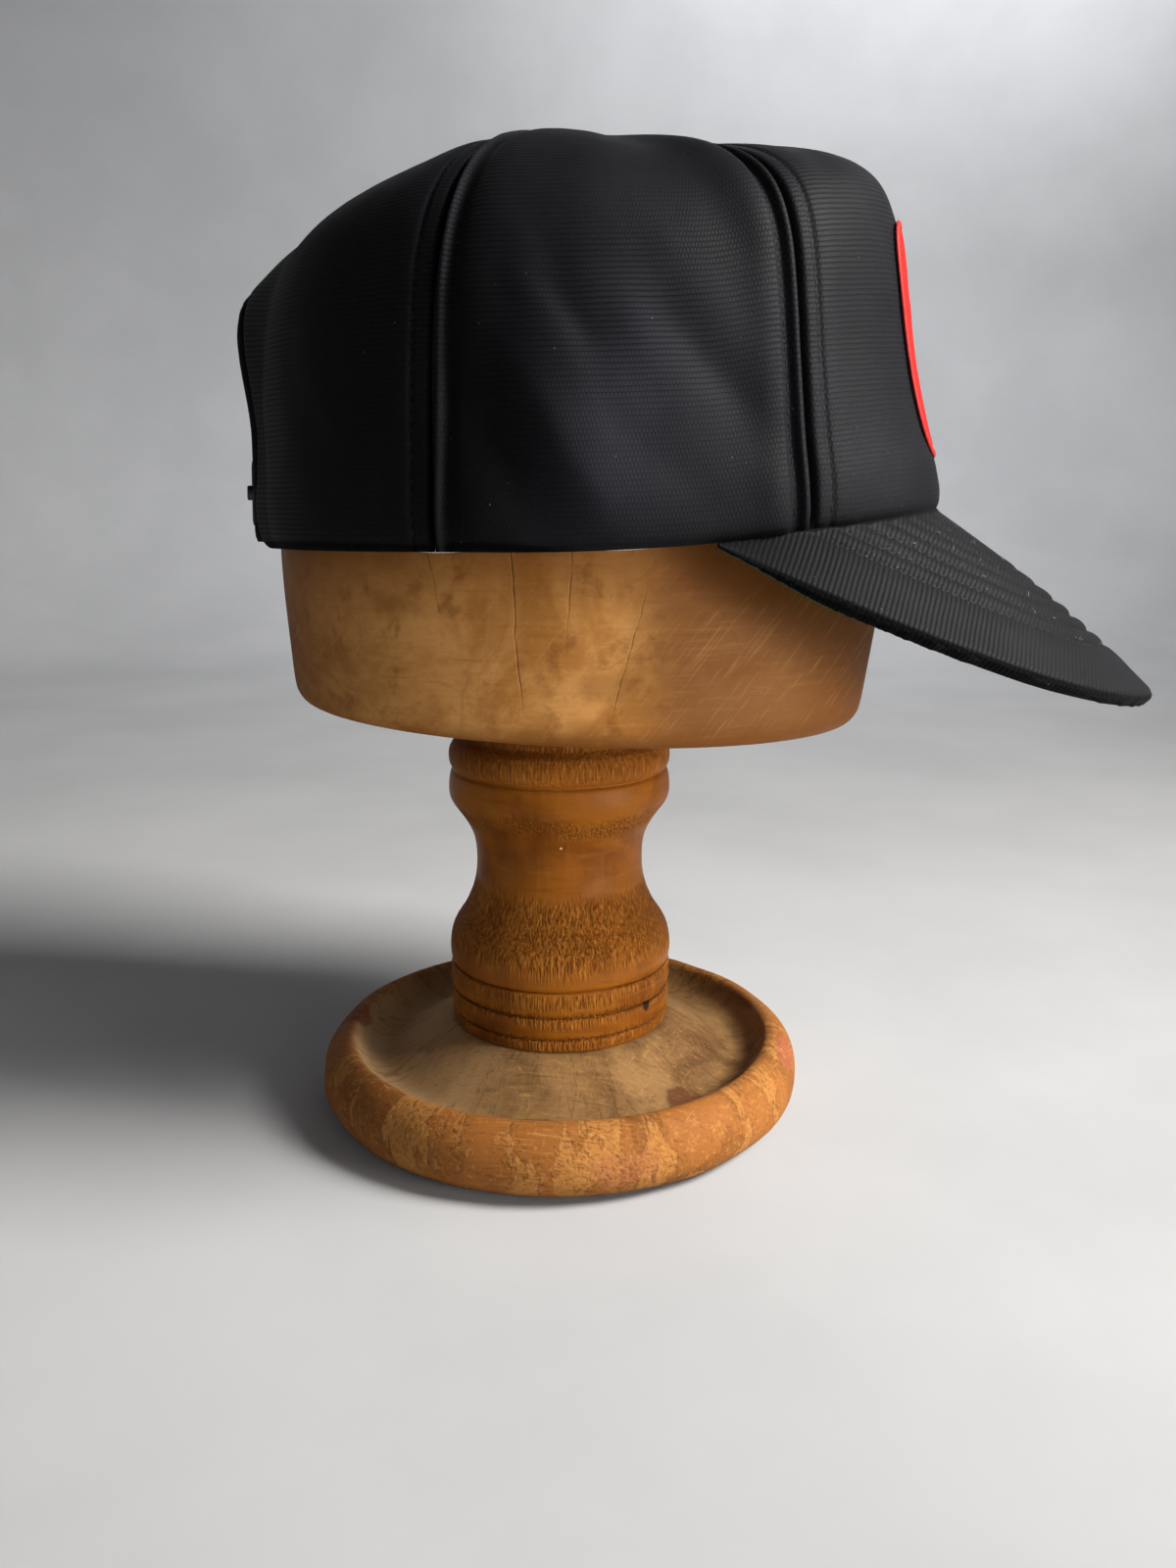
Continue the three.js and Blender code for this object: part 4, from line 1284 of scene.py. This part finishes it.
# hat block: blotched pale wood with sanding scratches, dried water lines, stains and fine checks
blockTones = {
    "light": (0.58, 0.28, 0.082), "dark": (0.36, 0.148, 0.032), "stain": (0.17, 0.058, 0.01),
    "paintedShadeBrown": (0.15, 0.045, 0.004), "scratch": (0.56, 0.3, 0.105), "blush": (0.24, 0.1, 0.03),
    "crack": (0.07, 0.025, 0.006),
}
blockCracks = table(
    "Start Lean Low High Width side",
    (-0.0145, 0.216, 0.16, 0.2, 0.32, -1.0),
    (-0.0059, 0.044, 0.138, 0.2, 0.36, -1.0),
    (-0.0008, -0.068, 0.158, 0.2, 0.28, -1.0),
    (0.012, -0.252, 0.138, 0.176, 0.3, -1.0),
    (0.021, -0.05, 0.135, 0.2, 0.34, 1.0),
    (-0.036, 0.07, 0.15, 0.2, 0.3, 1.0),
)
blockStains = [      # place, half size and strength
    ((-0.075, 0.038, 0.167), (0.02, 0.014, 0.006), 0.55),
    ((-0.075, -0.022, 0.148), (0.02, 0.012, 0.006), 0.4),
    ((-0.066, -0.056, 0.152), (0.02, 0.012, 0.006), 0.35),
    ((0.074, 0.01, 0.16), (0.02, 0.02, 0.008), 0.45),
    ((-0.02, 0.088, 0.155), (0.03, 0.02, 0.01), 0.4),
    ((0.03, -0.09, 0.15), (0.03, 0.02, 0.008), 0.4),
]


def makeBlockWood():
    wood = Finish("pale block wood", blockTones, specular=0.08)
    x, y, z = wood.axes(wood.place)
    grain = wood.use(woodFibre(), Vector=wood.place, Stretch=(0.05, 0.05, 1.0), Scale=1100.0, Blotches=34.0)
    streak = wood.noise(wood.mapped((0.3, 0.3, 1)), 110.0, 5.0, 0.65)
    spots = wood.noise(wood.place, 80.0, 5.0, 0.62, 0.15)
    small = wood.noise(wood.mapped((0.6, 0.6, 1)), 420.0, 4.0, 0.7)
    wood.base(grain["Blotch"].ramp(0.36, 0.6), "dark", "light")
    wood.coats(
        (streak, 0.5, 0.7, 0.5, "dark"),
        (spots, 0.54, 0.66, 0.5, "stain"),
        (small, 0.46, 0.68, 0.35, "dark"),
        (small, 0.46, 0.3, 0.25, "scratch"),
        # the front third, under the brim, is redder and darker: partly the wood's own tone, partly painted
        # shade
        (streak * 0.02 + y, -0.013, -0.035, 0.95, "blush"),
        (grain["Fibre"], 0.52, 0.72, 0.16, "scratch"),
        (grain["Fibre"], 0.46, 0.28, 0.25, "stain"),
    )
    # painted shade: darker at the back end, which turns from the light, and at the front end and under the
    # brim's root, where the brim casts its shadow
    wood.coat(y.ramp(0.02, 0.085, 0.0, 0.8).most(y.ramp(-0.06, -0.1, 0.0, 0.85)), "paintedShadeBrown")
    shaded = ((spots - 0.5) * 0.012 + z).ramp(0.15, 0.18)
    wood.coat(shaded * y.ramp(-0.03, -0.065, 0.0, 0.9), "paintedShadeBrown")
    for place, size, strength in blockStains:
        stain = wood.use(raggedStain(), Vector=wood.place, Place=place, Size=size, Edge=0.7)["Stain"]
        wood.coat(stain * strength, "stain")
    # wavy outlines where water has dried, and crossing sanding scratches
    dried = abs(wood.noise(wood.place, 26.0, 3.0, 0.45, 0.4) - 0.47).ramp(0.016, 0.002)
    wood.coat(dried * grain["Blotch"].ramp(0.4, 0.55) * 0.18, "stain")
    sanded = wood.noise(wood.mapped((20, 20, 1), (-52, 0, 0), kind="TEXTURE"), 1400.0, 2.0, 0.6)
    wood.coats(
        (sanded, 0.55, 0.72, 0.2, "scratch"),
        (spots * 0.012 + z, 0.168, 0.186, 0.6, "stain"),      # darker where the hem sits on it: painted shade under the hem, with some grime
    )
    pits = wood.use(flecksAndClouds(), Vector=wood.place, Size=260.0, Amount=0.8)["Fleck"]
    wood.coat(pits * 0.8, "crack")
    wood.coats((spots * 0.006 + z, 0.1415, 0.134, 0.75, "stain"))
    marks = pits * 0.8
    for crack in blockCracks:
        line = {key: value for key, value in crack.items() if key != "side"}
        shown = wood.use(fineCrack(), Vector=wood.place, **line)["Crack"]
        marks = marks.most(shown * (x * crack["side"]).math("GREATER_THAN", 0.0))
    wood.coat(marks * 0.36, "crack")
    relief = grain["Fibre"] * 0.3 - marks - sanded.ramp(0.62, 0.76, 0.0, 0.15)
    return wood.finish(relief, 0.22, grain["Blotch"].ramp(0.3, 0.7, 0.66, 0.48))


# stem: orange turned wood, with the grain torn at some heights, in millimetres
stemTones = {
    "light": (0.29, 0.094, 0.008), "dark": (0.14, 0.038, 0.003), "worn": (0.5, 0.215, 0.038),
    "torn": (0.065, 0.016, 0.002), "blush": (0.22, 0.072, 0.014), "nick": (0.02, 0.009, 0.004),
    "dot": (0.75, 0.5, 0.25),
}
stemBands = {
    "torn": [(27, 34), (35.5, 42), (42, 48.5), (51, 78)], "soft": [(93, 103), (111, 126)],
    "blush": [(49.5, 53.5), (109, 112), (118.5, 122)],
}
stemMarks = [      # tone, place, half size and how torn the outline is
    ("nick", (-0.018, -0.0295, 0.0385), (0.004, 0.0012, 0.0022), 0.9),
    ("dot", (-0.0268, -0.004, 0.0915), (0.003, 0.0005, 0.0005), 0.1),
]


def bandMask(height, bands):
    # 1 inside any of the (low, high) bands of height, with soft ends
    total = None
    for low, high in bands:
        soft = min(max((high - low) / 3, 2), 6)
        inside = height.ramp(low * mm, (low + soft) * mm) * height.ramp(high * mm, (high - soft) * mm)
        total = total.most(inside) if total else inside
    return total


def makeStemWood():
    wood = Finish("orange turned wood", stemTones, specular=0.09)
    grain = wood.use(woodFibre(), Vector=wood.place, Stretch=(1, 1, 0.1), Scale=420.0, Blotches=30.0)
    height = wood.axes(wood.place)[2]
    ragged = grain["Blotch"] * 0.012 + (height - 0.006)
    rough = bandMask(ragged, stemBands["torn"]).most(bandMask(ragged, stemBands["soft"]) * 0.75)
    rough *= grain["Blotch"].ramp(0.3, 0.56, 0.35, 1.0)
    rings = wood.noise(wood.mapped((0.12, 0.12, 1)), 330.0, 4.0, 0.7, 0.3)      # drawn out round the stem
    wood.base(grain["Blotch"].ramp(0.3, 0.64), "dark", "light")
    wood.coats(
        (grain["Fibre"], 0.5, 0.75, 0.12, "worn"),
        (rings, 0.52, 0.7, 0.45, "dark"),
        (rings, 0.45, 0.3, 0.15, "worn"),
    )
    chips = wood.use(tornGrain(), Vector=wood.place)
    pit, lift = chips["Pit"] * rough, chips["Lift"] * rough
    wood.coat(pit * 0.55, "torn")
    wood.coat(lift * 0.45, "worn")
    wood.coat(bandMask(height, stemBands["blush"]) * 0.35, "blush")
    for tone, place, size, torn in stemMarks:
        mark = wood.use(raggedStain(), Vector=wood.place, Place=place, Size=size, Ragged=torn)
        wood.coat(mark["Stain"], tone)
    specks = wood.use(flecksAndClouds(), Vector=wood.place, Size=420.0, Amount=0.6)["Fleck"]
    wood.coat(specks * 0.6, "torn")
    return wood.finish(lift * 0.6 + grain["Fibre"] * 0.2 - pit, 0.45, rough.ramp(0.0, 1.0, 0.42, 0.7))


# foot: patches of wear round the rim, and a dusty, scratched and stained floor in the dish
footTones = {
    "dark": (0.19, 0.068, 0.014), "middle": (0.25, 0.091, 0.019), "light": (0.34, 0.145, 0.036),
    "floorDark": (0.11, 0.055, 0.019), "floorLight": (0.24, 0.132, 0.05), "fleck": (0.45, 0.22, 0.065),
    "grime": (0.045, 0.018, 0.006), "dustAndPaintedLight": (0.4, 0.25, 0.12),
}
footStains = [      # place, half size, colour and strength
    ((0, 0.071, 0.0215), (0.009, 0.007, 0.006), (0.17, 0.04, 0.02), 0.7),
    ((-0.008, -0.0735, 0.019), (0.011, 0.0045, 0.006), (0.27, 0.07, 0.04), 0.6),
    ((-0.059, 0.004, 0.017), (0.0045, 0.021, 0.006), (0.09, 0.055, 0.016), 0.75),
    ((-0.04, -0.045, 0.0175), (0.008, 0.009, 0.006), (0.09, 0.03, 0.012), 0.85),
    ((-0.075, -0.028, 0.012), (0.01, 0.013, 0.006), (0.3, 0.105, 0.04), 0.5),
    ((0.05, 0.03, 0.018), (0.009, 0.014, 0.006), (0.1, 0.045, 0.016), 0.7),
]
footScratches = [(35, 0.4), (-22, 0.35), (80, 0.3)]      # turn in degrees, and strength


def makeFootWood():
    wood = Finish("worn foot wood", footTones, specular=0.08)
    x, y, z = wood.axes(wood.place)
    flat = wood.put("CombineXYZ", {0: x, 1: y})
    radius = wood.vector("LENGTH", flat, output="Value")
    # round the rim the patches of wear stand upright, so they follow the angle and hardly the height
    ring = wood.put("VectorMath", {0: wood.vector("NORMALIZE", flat), 3: 0.075}, operation="SCALE")
    around = wood.vector("ADD", ring, wood.put("CombineXYZ", {2: z * 0.45}))
    wear = wood.noise(around, 34.0, 4.0, 0.55, 0.7)
    wearEdge = wood.noise(around, 60.0, 5.0, 0.7, 0.4)
    grain = wood.use(woodFibre(), Vector=wood.place, Stretch=(1, 0.09, 1), Scale=900.0, Blotches=42.0)
    wood.base(wear.ramp(0.44, 0.47), "dark", "middle")
    wood.coat(wearEdge.ramp(0.53, 0.56), "light")
    wood.coat(grain["Blotch"].ramp(0.35, 0.7, 0.25, 0.0), "dark")
    outer = wood.colour
    wood.base(grain["Blotch"].ramp(0.32, 0.62), "floorDark", "floorLight")
    # the dish's floor is lighter towards +Y: partly pale dust, partly painted light where the floor lies in
    # shade
    wood.coats(((wearEdge - 0.5) * 0.06 + y, -0.005, 0.05, 0.7, "dustAndPaintedLight"))
    rim = ((wearEdge - 0.5) * 0.006 + radius).ramp(0.066, 0.069)
    wood.colour = wood.mix(rim, wood.colour, outer)
    # fine scratches that cross on the dish's floor and along the rim
    for turn, strength in footScratches:
        crossed = wood.mapped((16, 1, 2), (0, 0, turn), kind="TEXTURE")
        wood.coats((wood.noise(crossed, 1150.0, 2.0, 0.6, 0.2), 0.6, 0.74, strength, "fleck"))
    wood.coats((abs(wearEdge - 0.545), 0.014, 0.002, 0.4, "grime"))      # outlines between the patches
    for place, size, colour, strength in footStains:
        stain = wood.use(raggedStain(), Vector=wood.place, Place=place, Size=size)["Stain"]
        wood.coat(stain * strength, colour)
    wood.coats((grain["Fibre"], 0.54, 0.72, 0.45, "fleck"), (grain["Fibre"], 0.45, 0.3, 0.45, "grime"))
    chips = wood.use(tornGrain(), Vector=wood.place, Stretch=(0.8, 0.3, 0.45), Scale=1700.0)
    rough = wearEdge.ramp(0.45, 0.55) * rim.ramp(0.0, 1.0, 0.15, 0.5)
    pit, lift = chips["Pit"] * rough, chips["Lift"] * rough
    wood.coat(lift * 0.35, "fleck")
    wood.coat(pit * 0.45, "grime")
    wood.coats((z, 0.006, 0.0, 0.6, "grime"))
    return wood.finish(grain["Fibre"] * 0.5 + (lift * 0.5 - pit), 0.3, wearEdge.ramp(0.4, 0.6, 0.6, 0.78))


# setting: a pale floor that sweeps up into a backdrop, and soft lights
studio = {
    "floorRadius": 1100, "sweep": 500, "wall": 1500, "world": (0.55, 0.57, 0.6, 1), "worldStrength": 0.03,
    "dark": (0.4, 0.406, 0.412), "light": (0.44, 0.446, 0.452),
}
lights = table(
    "name place size power tint aim spread",
    ("key", (-0.2, -1.06, 0.95), 0.5, 12.5, (1, 0.97, 0.94), (0, -0.02, 0.17), 95),
    ("fill", (-0.92, -0.7, 0.34), 0.6, 0.6, (1, 0.97, 0.93), (0, -0.02, 0.17), 90),
    ("low key", (-0.45, -0.9, 0.14), 0.3, 0.45, (1, 0.96, 0.92), (0, 0, 0.03), 40),
    ("wall wash", (1, -0.45, 1.45), 0.6, 11, (0.98, 0.98, 1), (1.6, -0.12, 0.65), 115),
    ("front wall wash", (0, -0.75, 1.45), 0.7, 2.5, (0.98, 0.98, 1), (0, -1.6, 0.6), 110),
    ("back wall wash", (-0.2, 0.85, 1.45), 0.7, 2.5, (0.98, 0.98, 1), (-0.3, 1.6, 0.6), 110),
    ("near wall wash", (-0.8, 0.2, 1.5), 0.7, 2.5, (0.98, 0.98, 1), (-1.6, 0.1, 0.7), 100),
)


def makeStudio():
    paint = Finish("pale backdrop", roughness=0.9, specular=0.2)
    paint.base(paint.noise(paint.place, 6.0, 5.0, 0.6).ramp(0.3, 0.7), studio["dark"], studio["light"])
    flat, curve = studio["floorRadius"], studio["sweep"]
    profile = [(flat + curve * math.sin(t), curve * (1 - math.cos(t))) for t in steps(24, 0, math.pi / 2)]
    floor = settle(spunMesh([(0, 0)] + profile + [(flat + curve, studio["wall"])], 96), "floor", rides=False)
    floor.data.materials.append(paint.finish())
    for light in lights:
        data = bpy.data.lights.new(light["name"], "AREA")
        data.energy = light["power"]
        data.size = light["size"]
        data.color = light["tint"]
        data.spread = math.radians(light["spread"])
        lamp = bpy.data.objects.new(light["name"], data)
        lamp.location = light["place"]
        lamp.rotation_euler = (Vector(light["aim"]) - lamp.location).to_track_quat("-Z", "Y").to_euler()
        bpy.context.scene.collection.objects.link(lamp)
    world = bpy.data.worlds.new("studio")
    world.use_nodes = True
    background = world.node_tree.nodes["Background"]
    background.inputs[0].default_value = studio["world"]
    background.inputs[1].default_value = studio["worldStrength"]
    bpy.context.scene.world = world
    print("studio")


bpy.context.scene.view_settings.view_transform = "Standard"
makeCamera()
makeStudio()
knit = makeKnit("black ribbed knit", (0.0019, 0.002, 0.0027), (0.0063, 0.0067, 0.0087), calm=(0.205, 0.245))
brimKnit = makeKnit("black brim knit", (0.0015, 0.0015, 0.0019), (0.0068, 0.0068, 0.0081),
                    depth=0.17, lint=1.5)
bindingCloth = makeKnit("black edge binding", (0.003, 0.003, 0.004), (0.009, 0.009, 0.011), pitch=1.0)
greenCloth = makeTwill("green brim lining", (0.03, 0.12, 0.085), (0.015, 0.07, 0.05))
bandCloth = makeTwill("off-white band", (0.72, 0.68, 0.6), (0.5, 0.46, 0.39))
redTwill = makeTwill("red twill", (0.46, 0.012, 0.007), (0.22, 0.005, 0.004))
blackThread = makeThread("black thread", (0.008, 0.008, 0.01), (0.003, 0.003, 0.004))
redThread = makeThread("red merrow thread", (0.52, 0.015, 0.009), (0.2, 0.004, 0.004))
paleLint = makeThread("pale lint", (0.42, 0.41, 0.38), (0.25, 0.24, 0.23))
makeStand(makeBlockWood(), makeStemWood(), makeFootWood())
makeCrown(knit, blackThread)
makeArchBinding(bindingCloth)
makeSweatband(bandCloth)
makeBrim(brimKnit, greenCloth, blackThread)
makeLoose(paleLint, blackThread)
makePatch(redTwill, redThread)
makeStrap(makePlastic())
makeButton(knit)
